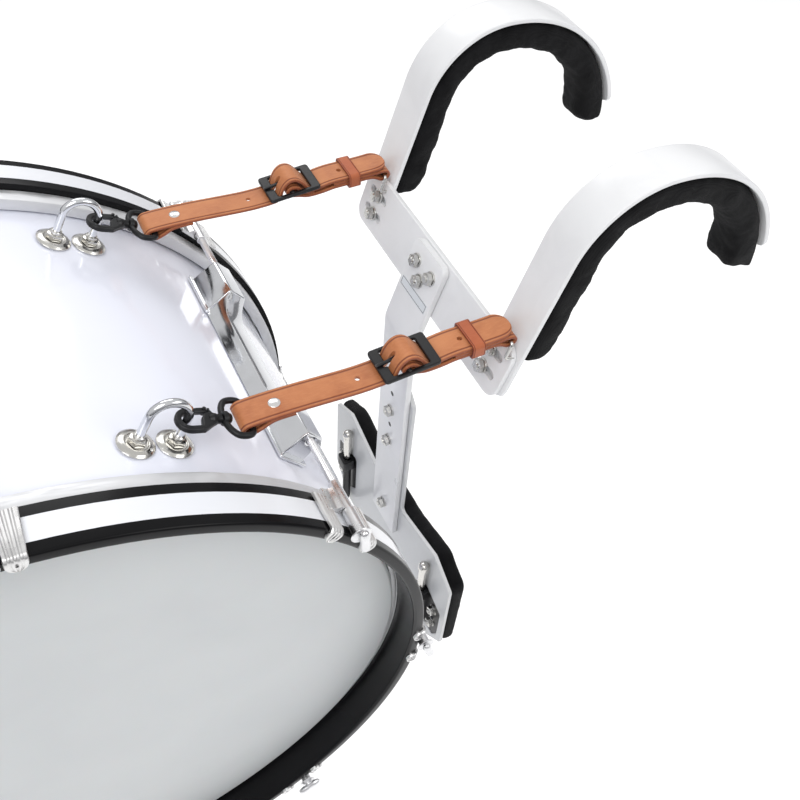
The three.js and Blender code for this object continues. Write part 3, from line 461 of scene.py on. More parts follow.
# Places worked out from the sizes above
head_plane = shell_depth / 2
film_inner = shell_radius + contact_gap
film_outer = film_inner + film_thickness
flesh_inner = film_outer + contact_gap
flesh_outer = flesh_inner + flesh_wall
flesh_front = head_plane - flesh_setback
flesh_back = flesh_front - flesh_depth
hoop_inner = flesh_outer - hoop_ledge
hoop_outer = hoop_inner + hoop_wall
hoop_back = flesh_front + contact_gap
hoop_front = hoop_back + hoop_depth
rod_circle = hoop_outer + sleeve_radius + rod_hoop_gap
claw_front = hoop_front + prong_front_thickness
collar_back = claw_front + contact_gap
bridge_end = hoop_back + bridge_length - weld * 4
lug_base = shell_radius + contact_gap
lug_end = lug_length / 2
crossbar_front = spine_thickness + contact_gap
crossbar_back = crossbar_front + crossbar_thickness
arm_front = crossbar_back + contact_gap
plate_front = spine_front + spine_thickness + contact_gap
plate_back = plate_front + plate_thickness
rod_line_x = plate_front - j_rod_radius - running_gap * 2
sides = {"near": -1, "far": 1}
lug_angles = [first_lug_angle - 360 * i / lug_count for i in range(lug_count)]


# Node materials


def new_material(name, colour, roughness, metallic=0.0):
    """A principled material, with its tree and shader for more nodes."""
    material = bpy.data.materials.new(name)
    material.use_nodes = True
    tree = material.node_tree
    shader = tree.nodes["Principled BSDF"]
    shader.inputs["Base Color"].default_value = (*colour, 1)
    shader.inputs["Roughness"].default_value = roughness
    shader.inputs["Metallic"].default_value = metallic
    return material, tree, shader


def add_node(tree, kind, settings=(), inputs=()):
    """A node with these settings and input values."""
    node = tree.nodes.new(kind)
    for key, value in dict(settings).items():
        setattr(node, key, value)
    for key, value in dict(inputs).items():
        node.inputs[key].default_value = value
    return node


def place_coordinates(tree, stretch=(1, 1, 1)):
    """The piece's own place in the frame, in metres, optionally stretched."""
    source = add_node(tree, "ShaderNodeTexCoord")
    mapping = add_node(tree, "ShaderNodeMapping", inputs={"Scale": stretch})
    tree.links.new(source.outputs["Object"], mapping.inputs["Vector"])
    return mapping.outputs["Vector"]


def noise_field(tree, coordinates, scale, detail=4.0, distortion=0.0):
    inputs = {"Scale": scale, "Detail": detail, "Distortion": distortion}
    field = add_node(tree, "ShaderNodeTexNoise", inputs=inputs)
    tree.links.new(coordinates, field.inputs["Vector"])
    return field.outputs["Fac"]


def cell_field(tree, coordinates, scale, feature="F1"):
    field = add_node(tree, "ShaderNodeTexVoronoi", {"feature": feature}, {"Scale": scale})
    tree.links.new(coordinates, field.inputs["Vector"])
    return field.outputs["Distance"]


def colour_ramp(tree, source, stops):
    """Colours a field by stops of (place, colour)."""
    ramp = add_node(tree, "ShaderNodeValToRGB")
    elements = ramp.color_ramp.elements
    while len(elements) < len(stops):
        elements.new(0.5)
    for element, (place, colour) in zip(elements, stops):
        element.position = place
        element.color = (*colour, 1)
    tree.links.new(source, ramp.inputs["Fac"])
    return ramp.outputs["Color"]


def value_range(tree, source, low, high, start=0.0, end=1.0):
    """Maps a field from start..end to low..high."""
    inputs = {"From Min": start, "From Max": end, "To Min": low, "To Max": high}
    scaled = add_node(tree, "ShaderNodeMapRange", inputs=inputs)
    tree.links.new(source, scaled.inputs["Value"])
    return scaled.outputs["Result"]


def blend_colours(tree, factor, first, second, mode="MIX"):
    mix = add_node(tree, "ShaderNodeMix", {"data_type": "RGBA", "blend_type": mode})
    for value, name in ((factor, "Factor"), (first, "A"), (second, "B")):
        socket = next(s for s in mix.inputs if s.name == name and s.enabled)
        if isinstance(value, (tuple, float, int)):
            socket.default_value = (*value, 1) if isinstance(value, tuple) else value
        else:
            tree.links.new(value, socket)
    return next(s for s in mix.outputs if s.enabled)


def combine(tree, operation, first, second):
    node = add_node(tree, "ShaderNodeMath", {"operation": operation})
    for socket, value in zip(node.inputs, (first, second)):
        if isinstance(value, (float, int)):
            socket.default_value = value
        else:
            tree.links.new(value, socket)
    return node.outputs["Value"]


def add_bump(tree, shader, height, strength, distance):
    bump = add_node(tree, "ShaderNodeBump", inputs={"Strength": strength, "Distance": distance})
    tree.links.new(height, bump.inputs["Height"])
    tree.links.new(bump.outputs["Normal"], shader.inputs["Normal"])


def edge_wear(tree, start, end):
    """A field that is high on sharp outer edges."""
    geometry = add_node(tree, "ShaderNodeNewGeometry")
    return value_range(tree, geometry.outputs["Pointiness"], 0, 1, start, end)


def stored_value(tree, name):
    return add_node(tree, "ShaderNodeAttribute", {"attribute_name": name}).outputs["Fac"]


def lacquer_material(name, colour, shade, roughness, coat=0.6, shine=0.5):
    """Gloss lacquer: a slow drift of colour, fine ripples and a clear coat with faint smears."""
    material, tree, shader = new_material(name, colour, roughness)
    place = place_coordinates(tree)
    drift = noise_field(tree, place, 6, 3)
    tree.links.new(colour_ramp(tree, drift, [(0.3, colour), (0.75, shade)]), shader.inputs["Base Color"])
    smear = noise_field(tree, place, 26, 6, 0.6)
    tree.links.new(value_range(tree, smear, roughness * 0.75, roughness * 1.35), shader.inputs["Roughness"])
    shader.inputs["Coat Weight"].default_value = coat
    shader.inputs["Coat Roughness"].default_value = 0.06
    shader.inputs["Specular IOR Level"].default_value = shine
    add_bump(tree, shader, noise_field(tree, place, 420, 2), 0.05, 0.0004)
    return material


def head_material():
    """Head film: grey-white, with a fine even tooth and a slow mottle."""
    material, tree, shader = new_material("head_film", (0.6, 0.62, 0.63), 0.42)
    place = place_coordinates(tree)
    mottle = noise_field(tree, place, 9, 5, 0.4)
    stops = [(0.25, (0.585, 0.605, 0.615)), (0.8, (0.63, 0.65, 0.655))]
    tree.links.new(colour_ramp(tree, mottle, stops), shader.inputs["Base Color"])
    tooth = noise_field(tree, place, 1500, 3)
    tree.links.new(value_range(tree, tooth, 0.36, 0.5), shader.inputs["Roughness"])
    shader.inputs["Subsurface Weight"].default_value = 0.06
    shader.inputs["Subsurface Scale"].default_value = 0.003
    add_bump(tree, shader, tooth, 0.12, 0.0002)
    return material


def metal_material(name, colour, roughness, streak=(1, 1, 1), streak_scale=60, bump=0.03, metallic=1.0):
    """Bare or plated metal: polish that varies, with fine streaks where it is brushed."""
    material, tree, shader = new_material(name, colour, roughness, metallic)
    place = place_coordinates(tree)
    streaks = noise_field(tree, place_coordinates(tree, streak), streak_scale, 5)
    smears = noise_field(tree, place, 45, 5, 0.8)
    mixed = combine(tree, "MULTIPLY", streaks, smears)
    rough = value_range(tree, mixed, roughness * 0.6, roughness * 1.7, 0.1, 0.45)
    tree.links.new(rough, shader.inputs["Roughness"])
    dull = tuple(c * 0.93 for c in colour)
    tree.links.new(colour_ramp(tree, smears, [(0.3, dull), (0.65, colour)]), shader.inputs["Base Color"])
    add_bump(tree, shader, streaks, bump, 0.0002)
    return material


def coated_metal_material():
    """Black coated hardware, with a fine grain and rubbed edges."""
    black = (0.006, 0.006, 0.007)
    material, tree, shader = new_material("black_hardware", black, 0.38)
    place = place_coordinates(tree)
    grain = noise_field(tree, place, 900, 3)
    rub = combine(tree, "MULTIPLY", edge_wear(tree, 0.53, 0.62), noise_field(tree, place, 160, 4))
    tree.links.new(blend_colours(tree, rub, black, (0.16, 0.16, 0.165)), shader.inputs["Base Color"])
    tree.links.new(value_range(tree, grain, 0.28, 0.5), shader.inputs["Roughness"])
    shader.inputs["Specular IOR Level"].default_value = 0.32
    add_bump(tree, shader, grain, 0.15, 0.0002)
    return material


def leather_material(name, colour, light, dark):
    """Vegetable-tanned strap leather: pores, colour drift, burnished edges and a dark crease by each edge."""
    material, tree, shader = new_material(name, colour, 0.5)
    place = place_coordinates(tree)
    drift = noise_field(tree, place, 38, 6, 0.5)
    body = colour_ramp(tree, drift, [(0.25, dark), (0.5, colour), (0.78, light)])
    fibres = noise_field(tree, place_coordinates(tree, (0.35, 1, 1)), 520, 5)
    body = blend_colours(tree, value_range(tree, fibres, 0, 0.35, 0.45, 0.7), body, light)
    across = combine(tree, "ABSOLUTE", stored_value(tree, "across"), 0.0)
    offset = combine(tree, "ABSOLUTE", combine(tree, "SUBTRACT", across, crease_share), 0.0)
    crease = value_range(tree, offset, 1, 0, 0.02, 0.085)
    crease = combine(tree, "MULTIPLY", crease, 0.85)
    burnt = (dark[0] * 0.42, dark[1] * 0.25, dark[2] * 0.25)
    body = blend_colours(tree, crease, body, burnt)
    edge = value_range(tree, across, 0, 0.9, 0.91, 1.0)
    body = blend_colours(tree, edge, body, (dark[0] * 0.62, dark[1] * 0.4, dark[2] * 0.4))
    tree.links.new(body, shader.inputs["Base Color"])
    pores = cell_field(tree, place, 1400, "F1")
    tree.links.new(value_range(tree, drift, 0.4, 0.62), shader.inputs["Roughness"])
    shader.inputs["Specular IOR Level"].default_value = 0.42
    shader.inputs["Sheen Weight"].default_value = 0.08
    height = combine(tree, "ADD", pores, combine(tree, "MULTIPLY", fibres, 0.5))
    height = combine(tree, "SUBTRACT", height, combine(tree, "MULTIPLY", crease, 1.4))
    add_bump(tree, shader, height, 0.35, 0.00035)
    return material


def painted_material(name, colour, roughness):
    """Paint on plate: fine orange peel, faint handling marks and slightly greyer edges."""
    material, tree, shader = new_material(name, colour, roughness)
    place = place_coordinates(tree)
    marks = noise_field(tree, place, 32, 6, 0.9)
    body = colour_ramp(tree, marks, [(0.28, tuple(c * 0.955 for c in colour)), (0.6, colour)])
    worn = combine(tree, "MULTIPLY", edge_wear(tree, 0.54, 0.66), noise_field(tree, place, 210, 4))
    body = blend_colours(tree, combine(tree, "MULTIPLY", worn, 0.7), body, (0.5, 0.5, 0.5))
    tree.links.new(body, shader.inputs["Base Color"])
    tree.links.new(value_range(tree, marks, roughness * 0.8, roughness * 1.25), shader.inputs["Roughness"])
    shader.inputs["Coat Weight"].default_value = 0.15
    add_bump(tree, shader, noise_field(tree, place, 650, 2), 0.08, 0.0003)
    return material


def foam_material():
    """Knitted black cloth over foam: a fine rib weave, fuzz and slightly faded high spots."""
    material, tree, shader = new_material("pad_cloth", (0.008, 0.008, 0.009), 0.92)
    place = place_coordinates(tree)
    ribs = {"Scale": 520, "Distortion": 1.2, "Detail": 2.0}
    weave = [add_node(tree, "ShaderNodeTexWave", {"bands_direction": axis}, ribs) for axis in ("X", "Y", "Z")]
    for wave in weave:
        tree.links.new(place, wave.inputs["Vector"])
    woven = combine(tree, "MULTIPLY", weave[0].outputs["Fac"], weave[1].outputs["Fac"])
    woven = combine(tree, "ADD", woven, combine(tree, "MULTIPLY", weave[2].outputs["Fac"], 0.5))
    fade = noise_field(tree, place, 60, 5)
    stops = [(0.3, (0.004, 0.004, 0.0045)), (0.75, (0.011, 0.011, 0.012))]
    tree.links.new(colour_ramp(tree, fade, stops), shader.inputs["Base Color"])
    shader.inputs["Sheen Weight"].default_value = 0.05
    shader.inputs["Sheen Roughness"].default_value = 0.45
    shader.inputs["Specular IOR Level"].default_value = 0.12
    add_bump(tree, shader, woven, 0.5, 0.0006)
    return material


crease_share = 0.79

shell_paint = lacquer_material("shell_lacquer", (0.83, 0.845, 0.93), (0.8, 0.82, 0.915), 0.16)
soot, faded_soot = (0.004, 0.004, 0.0045), (0.007, 0.007, 0.008)
black_lacquer = lacquer_material("hoop_lacquer", soot, faded_soot, 0.22, 0.02, 0.13)
inlay_paint = lacquer_material("hoop_inlay", (0.82, 0.83, 0.86), (0.76, 0.78, 0.83), 0.22)
head_film = head_material()
satin_metal = metal_material("flesh_hoop", (0.74, 0.745, 0.76), 0.5, (1, 14, 1), 40, 0.05, 0.6)
chrome = metal_material("chrome", (0.74, 0.75, 0.77), 0.11, bump=0.01)
claw_metal = metal_material("claw_metal", (0.76, 0.755, 0.75), 0.27, (1, 1, 1), 160, 0.03)
rod_metal = metal_material("rod_metal", (0.8, 0.8, 0.81), 0.3, bump=0.01)
nickel = metal_material("nickel", (0.68, 0.665, 0.63), 0.2, bump=0.02)
plated_steel = metal_material("plated_steel", (0.62, 0.615, 0.59), 0.26, (1, 1, 1), 120, 0.05)
black_metal = coated_metal_material()
tan, light_tan, dark_tan = (0.47, 0.168, 0.062), (0.56, 0.225, 0.09), (0.37, 0.115, 0.038)
tan_leather = leather_material("leather", tan, light_tan, dark_tan)
red_brown, light_brown, dark_brown = (0.38, 0.09, 0.03), (0.45, 0.125, 0.045), (0.28, 0.06, 0.02)
keeper_leather = leather_material("keeper_leather", red_brown, light_brown, dark_brown)
carrier_paint = painted_material("carrier_paint", (0.8, 0.805, 0.815), 0.3)
plate_paint = painted_material("belly_plate_paint", (0.62, 0.63, 0.635), 0.36)
pad_cloth = foam_material()
rivet_metal = metal_material("rivet", (0.85, 0.84, 0.83), 0.22)
label_film = painted_material("label_film", (0.72, 0.75, 0.78), 0.25)


# Mesh building, in drum-centred millimetres. A mesh is (vertices, faces, stored values).


def mesh_of(vertices, faces, across=None):
    return np.array(vertices, float).reshape(-1, 3), faces, across


def grid_faces(rows, columns, close_rows, close_columns, flip=False):
    """Quads over a grid of points, row by row."""
    faces = []
    for i in range(rows if close_rows else rows - 1):
        for j in range(columns if close_columns else columns - 1):
            below = (i + 1) % rows
            beside = (j + 1) % columns
            face = (i * columns + j, i * columns + beside, below * columns + beside, below * columns + j)
            faces.append(face[::-1] if flip else face)
    return faces


def skin_over(vertices, rows, columns, closed=False):
    """A skin over rows of points, joined end to end or with a flat end at each of its two ends."""
    faces = grid_faces(rows, columns, closed, True)
    if not closed:
        last = (rows - 1) * columns
        faces += [tuple(range(columns))[::-1], tuple(last + k for k in range(columns))]
    return mesh_of(vertices, faces)


def lathe(profile, steps=round_steps, closed=True):
    """A profile of (radius, y) turned about the Y axis. An open one starts and ends on the axis."""
    turns = np.linspace(0, 2 * math.pi, steps, endpoint=False)
    rows = [[(r * math.cos(t), y, r * math.sin(t)) for t in turns] for r, y in profile]
    faces = grid_faces(len(profile), steps, closed, True)
    return mesh_of([p for row in rows for p in row], faces)


def smooth_profile(points, radius, steps=corner_steps, closed=True):
    """A polygon with its corners rounded. radius is one number, or one for each corner."""
    count = len(points)
    radii = radius if isinstance(radius, (list, tuple)) else [radius] * count
    result = []
    for i, corner in enumerate(points):
        here = np.array(corner, float)
        if radii[i] <= 0 or (not closed and i in (0, count - 1)):
            result.append(tuple(here))
            continue
        before = np.array(points[i - 1], float) - here
        after = np.array(points[(i + 1) % count], float) - here
        reach = min(np.linalg.norm(before), np.linalg.norm(after))
        before /= np.linalg.norm(before)
        after /= np.linalg.norm(after)
        half = math.acos(np.clip(before @ after, -1, 1)) / 2
        if half > math.radians(89):
            result.append(tuple(here))
            continue
        cut = min(radii[i] / math.tan(half), reach * 0.499)
        round_radius = cut * math.tan(half)
        middle = here + (before + after) / np.linalg.norm(before + after) * (round_radius / math.sin(half))
        first = here + before * cut - middle
        last = here + after * cut - middle
        turn = math.atan2(first[0] * last[1] - first[1] * last[0], first @ last)
        for k in range(steps + 1):
            angle = turn * k / steps
            c, s = math.cos(angle), math.sin(angle)
            spoke = np.array([first[0] * c - first[1] * s, first[0] * s + first[1] * c])
            result.append(tuple(middle + spoke))
    return result


def circle(radius, steps=small_steps, centre=(0, 0)):
    turns = [2 * math.pi * k / steps for k in range(steps)]
    return [(centre[0] + radius * math.cos(t), centre[1] + radius * math.sin(t)) for t in turns]


def rounded_box(half_a, half_b, corner, centre=(0, 0), steps=corner_steps):
    """A rectangle with rounded corners."""
    left, right = centre[0] - half_a, centre[0] + half_a
    low, high = centre[1] - half_b, centre[1] + half_b
    return smooth_profile([(left, low), (right, low), (right, high), (left, high)], corner, steps)


def new_object(name, data):
    """An object in the scene."""
    thing = bpy.data.objects.new(name, data)
    bpy.context.scene.collection.objects.link(thing)
    return thing


def evaluated_mesh(thing):
    """A new mesh of an object as its modifiers leave it."""
    bpy.context.view_layer.update()
    return bpy.data.meshes.new_from_object(thing.evaluated_get(bpy.context.evaluated_depsgraph_get()))


def apply_modifiers(piece):
    """Keeps a piece as its modifiers leave it, with none left on it."""
    result = evaluated_mesh(piece)
    piece.modifiers.clear()
    old = piece.data
    piece.data = result
    bpy.data.meshes.remove(old)


def row_place(point):
    """A drum-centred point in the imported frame, in metres."""
    x, y, z = point
    return (x - rest_x) * millimetre, y * millimetre, (z - rest_z) * millimetre


def plate(outline, holes, thickness, edge=plate_edge, segments=edge_segments):
    """A flat plate in X and Y, from z = 0 up, with rounded edges round its outline and holes."""
    curve = bpy.data.curves.new("plate", "CURVE")
    curve.dimensions = "2D"
    curve.fill_mode = "BOTH"
    curve.extrude = thickness / 2 - edge
    curve.bevel_depth = edge
    curve.bevel_resolution = segments
    curve.offset = -edge
    for loop in [outline, *holes]:
        spline = curve.splines.new("POLY")
        spline.points.add(len(loop) - 1)
        for point, (a, b) in zip(spline.points, loop):
            point.co = (a, b, 0, 1)
        spline.use_cyclic_u = True
    holder = new_object("plate", curve)
    shape = evaluated_mesh(holder)
    vertices = [(v.co.x, v.co.y, v.co.z + thickness / 2) for v in shape.vertices]
    faces = [tuple(p.vertices) for p in shape.polygons]
    bpy.data.objects.remove(holder)
    bpy.data.curves.remove(curve)
    bpy.data.meshes.remove(shape)
    return mesh_of(vertices, faces)


def frames_along(path, side, closed=False):
    """Tangent, side and normal at each point of a path, carried along it without twist."""
    path = np.array(path, float)
    if closed:
        tangents = np.roll(path, -1, axis=0) - np.roll(path, 1, axis=0)
    else:
        tangents = np.gradient(path, axis=0)
    tangents /= np.linalg.norm(tangents, axis=1)[:, None]
    across = np.array(side, float)
    result = []
    for i, tangent in enumerate(tangents):
        if i:
            turn = Vector(tangents[i - 1]).rotation_difference(Vector(tangent))
            across = np.array(turn @ Vector(across))
        across = across - tangent * (across @ tangent)
        across /= np.linalg.norm(across)
        result.append((tangent, across, np.cross(tangent, across)))
    return path, result


def sweep(path, section, side=(0, 1, 0), closed=False, widths=None, depths=None):
    """A section of (side, normal) points carried along a path. widths and depths scale it point by point."""
    path, frames = frames_along(path, side, closed)
    section = np.array(section, float)
    vertices = []
    for i, (_, across, normal) in enumerate(frames):
        wide = widths[i] if widths is not None else 1
        deep = depths[i] if depths is not None else 1
        for a, b in section:
            vertices.append(path[i] + across * a * wide + normal * b * deep)
    return skin_over(vertices, len(path), len(section), closed)


def wire(path, radius, side=(0, 1, 0), closed=False, steps=wire_steps):
    """A round wire. Its ends are domed."""
    if closed:
        return sweep(path, circle(radius, steps), side, True)
    path = np.array(path, float)
    start = path[0] - path[1]
    end = path[-1] - path[-2]
    dome = [(math.sin(t), math.cos(t)) for t in np.linspace(0, math.pi / 2, corner_steps)]
    height = radius * end_dome_share
    first = [path[0] + start / np.linalg.norm(start) * height * c for _, c in dome]
    last = [path[-1] + end / np.linalg.norm(end) * height * c for _, c in dome[::-1]]
    shrink = [max(s, least_share) for s, _ in dome]
    full = [*first[:-1], *path, *last[1:]]
    scales = [*shrink[:-1], *([1] * len(path)), *shrink[:-1][::-1]]
    return sweep(full, circle(radius, steps), side, False, scales, scales)


def merged(*parts):
    """Several meshes as one."""
    vertices, faces, across = [], [], []
    start = 0
    stored = any(part[2] is not None for part in parts)
    for points, polygons, values in parts:
        vertices.append(points)
        faces += [tuple(index + start for index in face) for face in polygons]
        across.append(values if values is not None else np.zeros(len(points)))
        start += len(points)
    return np.concatenate(vertices), faces, np.concatenate(across) if stored else None


def loft(rows):
    """A closed skin over rows of points."""
    return skin_over([p for row in rows for p in row], len(rows), len(rows[0]))


def moved(part, matrix):
    points, faces, across = part
    turned = points @ np.array(matrix.to_3x3()).T + np.array(matrix.translation)
    if matrix.determinant() < 0:
        faces = [face[::-1] for face in faces]
    return turned, faces, across


def shift(x=0.0, y=0.0, z=0.0):
    return Matrix.Translation((x, y, z))


def turn(degrees, axis):
    return Matrix.Rotation(math.radians(degrees), 4, axis)


def axes(x_axis, y_axis, z_axis):
    """A matrix that sends the X, Y and Z axes to these."""
    return Matrix((x_axis, y_axis, z_axis)).transposed().to_4x4()


# A plate in X and Y turned so that its outline lies in Y and Z and it is thick along X
upright = axes((0, 1, 0), (0, 0, 1), (1, 0, 0))
# A plate in X and Y turned so that its outline lies in X and Z and it is thick along -Y
sideways = axes((1, 0, 0), (0, 0, 1), (0, -1, 0))
# A lathed shape about Y, stood up so that its axis lies along Z or X
along_z = axes((1, 0, 0), (0, 0, 1), (0, -1, 0))
along_x = axes((0, 0, 1), (1, 0, 0), (0, 1, 0))
mirror_y = Matrix.Diagonal((1, -1, 1, 1))


def around(angle):
    """Takes a piece made at the top of the drum to its angle round the shell."""
    return turn(90 - angle, "Y")


def half_turn(side):
    """Far pieces stay, and near ones turn half round the Z axis."""
    return Matrix.Identity(4) if side > 0 else turn(180, "Z")


def build(name, parts, body, nodes=()):
    """One object from (mesh, material) parts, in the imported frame, riding on its body."""
    vertices, faces, slots, across = [], [], [], []
    materials = []
    start = 0
    for (points, polygons, values), material in parts:
        if material not in materials:
            materials.append(material)
        vertices += [row_place(p) for p in points]
        faces += [tuple(index + start for index in face) for face in polygons]
        slots += [materials.index(material)] * len(polygons)
        across += list(values) if values is not None else [0.0] * len(points)
        start += len(points)
    shape = bpy.data.meshes.new(name)
    shape.from_pydata(vertices, [], faces)
    shape.polygons.foreach_set("material_index", slots)
    if any(across):
        stored = shape.attributes.new("across", "FLOAT", "POINT")
        stored.data.foreach_set("value", across)
    for material in materials:
        shape.materials.append(material)
    shape.validate()
    shape.polygons.foreach_set("use_smooth", [True] * len(shape.polygons))
    shape.set_sharp_from_angle(angle=math.radians(sharp_angle))
    piece = new_object(name, shape)
    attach(piece, body)
    if nodes:
        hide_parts(*nodes)
    return piece


# Small fastenings, made along +Z from z = 0


def lathe_up(profile, steps=boss_steps):
    """A closed profile of (radius, z) about the Z axis, starting and ending on it."""
    return moved(lathe([(max(r, axis_radius), z) for r, z in profile], steps, False), along_z)


def washer(radius, height, edge=washer_edge):
    return lathe_up([(0, 0), (radius, 0), (radius, height - edge), (radius - edge, height), (0, height)])


nut_crown_shares = [0.62, 0.6]
nut_chamfer_share = 0.14


def nut(radius, height):
    """A hexagon with chamfered corners and a faint round crown."""
    chamfer = radius * nut_chamfer_share
    low, high = chamfer / 2, height - chamfer / 2
    hexagon = lathe_up([(0, 0), (radius - chamfer, 0), (radius, low), (radius, high)], 6)
    top = lathe_up([(radius, high), (radius - chamfer, height), (0, height)], 6)
    foot, face = (radius * share for share in nut_crown_shares)
    raised = height + nut_crown_height
    crown = lathe_up([(0, height), (foot, height), (face, raised), (0, raised)])
    return merged(hexagon, top, crown)


def thread_rings(radius, start, end):
    """A thread as shallow rings: its profile, and the level that it ends at."""
    profile = []
    level = start
    while level < end - thread_pitch:
        profile += [(radius, level), (radius - thread_height, level + thread_pitch / 2)]
        level += thread_pitch
    return profile, level


def stud_end(radius, height):
    rings, level = thread_rings(radius, 0.0, height)
    profile = [(0, 0), *rings]
    profile += [(radius, level), (radius - thread_height, height), (0, height)]
    return lathe_up(profile, small_steps)


def bolt(washer_height=bolt_washer_height):
    """A washer, a nut and the bolt's end, standing on z = 0."""
    stack = merged(
        washer(bolt_washer_radius, washer_height),
        moved(nut(bolt_head_radius, bolt_head_height), shift(z=washer_height)),
    )
    end = moved(stud_end(bolt_radius, bolt_head_height + bolt_end_height), shift(z=washer_height))
    return merged(stack, end)


def facing_front(x, y, z):
    """Stands a piece made along +Z on a face that looks towards -X."""
    return shift(x, y, z) @ turn(-90, "Y")


# Drum


def shell_piece():
    inner = shell_radius - shell_wall
    crest = shell_radius - bearing_bevel
    profile = [
        (inner, -head_plane + bearing_slope),
        (crest, -head_plane),
        (shell_radius, -head_plane + bearing_bevel),
        (shell_radius, head_plane - bearing_bevel),
        (crest, head_plane),
        (inner, head_plane - bearing_slope),
    ]
    tube = lathe(smooth_profile(profile, bearing_round, coarse_corner_steps))
    build("shell_tube", [(tube, shell_paint)], "frame", ["shell"])


def vent_piece():
    top = lug_base + vent_flange_height
    inner = shell_radius - shell_wall - vent_flange_height
    profile = [
        (vent_bore, inner),
        (vent_flange, inner),
        (vent_flange, inner + vent_flange_height * vent_inner_share),
        (vent_tube, inner + vent_flange_height * vent_inner_share),
        (vent_tube, lug_base),
        (vent_flange, lug_base),
        (vent_flange - vent_flange_height, top),
        (vent_bore + vent_lip, top),
        (vent_bore, top - vent_lip),
    ]
    grommet = moved(lathe(profile, boss_steps), around(vent_angle) @ along_z)
    build("vent_grommet", [(grommet, chrome)], "frame", ["air_vent"])


def head_piece(side_name, side):
    back = head_plane + contact_gap
    front = back + film_thickness
    rim = head_plane - film_collar
    outside = [(0, front), (film_outer, front), (film_outer, rim)]
    outside = smooth_profile(outside, film_corner, corner_steps, False)
    profile = [*outside, (film_inner, rim), (film_inner, back - film_inset), (0, back - film_inset)]
    profile = [(max(r, axis_radius), y) for r, y in profile]
    film = moved(lathe(profile, round_steps, False), half_turn(side))
    build(f"head_{side_name}", [(film, head_film)], "frame", [f"head_film_{side_name}"])


def flesh_hoop_piece(side_name, side):
    middle = (flesh_inner + flesh_outer) / 2
    profile = smooth_profile(
        [
            (flesh_inner, flesh_back),
            (flesh_outer, flesh_back),
            (flesh_outer, flesh_front),
            (middle + flesh_channel, flesh_front),
            (middle, flesh_front - flesh_channel),
            (middle - flesh_channel, flesh_front),
            (flesh_inner, flesh_front),
        ],
        flesh_round,
        coarse_corner_steps,
    )
    ring = moved(lathe(profile), half_turn(side))
    build(f"head_rim_{side_name}", [(ring, satin_metal)], "frame", [f"flesh_hoop_{side_name}"])


groove_place_shares = [-0.5, 0, 0.5]
groove_edge_share = 0.16
groove_floor_share = 0.05
prong_side_shares = [(-1, 0), (-1, 0.7), (-0.93, 1)]
prong_bend_share = 0.5
prong_tip_share = 0.004


def prong_section():
    """Half of a prong's outline across its width: its top has three shallow grooves."""
    half = prong_width / 2
    top = []
    edge, floor = groove_edge_share, groove_floor_share
    for groove in groove_place_shares:
        top += [(groove - edge, 1), (groove - floor, -1), (groove + floor, -1), (groove + edge, 1)]
    points = [(x * half, z * prong_thickness) for x, z in prong_side_shares]
    points += [(x * half, prong_thickness - (groove_depth if z < 0 else 0)) for x, z in top]
    points += [(-x * half, z * prong_thickness) for x, z in reversed(prong_side_shares)]
    return points


def prong_mesh(offset):
    """A grooved strap over the hoop's outer face, bent down over its front and ending in a half disc."""
    low = hoop_outer + prong_thickness - prong_hook
    half = prong_width / 2
    corner = smooth_profile(
        [(claw_front - prong_reach, hoop_outer), (hoop_front, hoop_outer), (hoop_front, low)],
        prong_bend * prong_bend_share,
        corner_steps,
        False,
    )
    path = [corner[0], ((corner[0][0] + corner[1][0]) / 2, hoop_outer), *corner[1:-1]]
    for share in np.linspace(0, 1, 9):
        path.append((hoop_front, low + half * (1 - math.sin(share * math.pi / 2))))
    widths = []
    for y, r in path:
        up = r - (low + half)
        rounding = 1 if up >= 0 else math.sqrt(max(prong_tip_share, 1 - (up / half) ** 2))
        flare = 1 + prong_flare * min(1, max(0, hoop_front - y) / prong_reach)
        widths.append(rounding * flare)
    points = [(0, y, r) for y, r in path]
    section = [(x, -z) for x, z in prong_section()]
    band = sweep(points, section, (1, 0, 0), False, widths)
    return moved(band, shift(x=offset))


def bridge_mesh():
    """The web between two prongs, with the open cradle that the rod's neck lies in."""
    skin = hoop_outer + prong_thickness
    half = bridge_width / 2 - prong_width / 2
    bore = neck_radius + running_gap
    eye = bore + eye_wall
    lip = rod_circle + cradle_lip
    groove = [(bore * math.cos(t), rod_circle + bore * math.sin(t)) for t in np.linspace(0, -math.pi, 17)]
    outline = [
        (-half, hoop_outer + contact_gap),
        (half, hoop_outer + contact_gap),
        (half, skin + web_edge),
        (eye + cradle_foot, skin + web_crown),
        (eye, lip),
        (bore, lip),
        *groove,
        (-bore, lip),
        (-eye, lip),
        (-eye - cradle_foot, skin + web_crown),
        (-half, skin + web_edge),
    ]
    rounds = [web_round, cradle_foot_round, cradle_round, cradle_mouth_round]
    radii = [0, 0, *rounds, *[0] * len(groove), *reversed(rounds)]
    body = plate(smooth_profile(outline, radii), [], bridge_length, web_round)
    return moved(body, shift(y=bridge_end) @ sideways)


def claw_mesh():
    """A claw's metal, and the two dark dots on its prongs."""
    dots = []
    spot = lathe_up([(0, 0), (dot_radius, 0), (0, dot_height)], small_steps)
    for offset in (-prong_offset, prong_offset):
        dots.append(moved(spot, shift(offset, claw_front + dot_lift, hoop_outer - dot_drop) @ turn(-90, "X")))
    metal = merged(prong_mesh(-prong_offset), prong_mesh(prong_offset), bridge_mesh())
    return metal, merged(*dots)


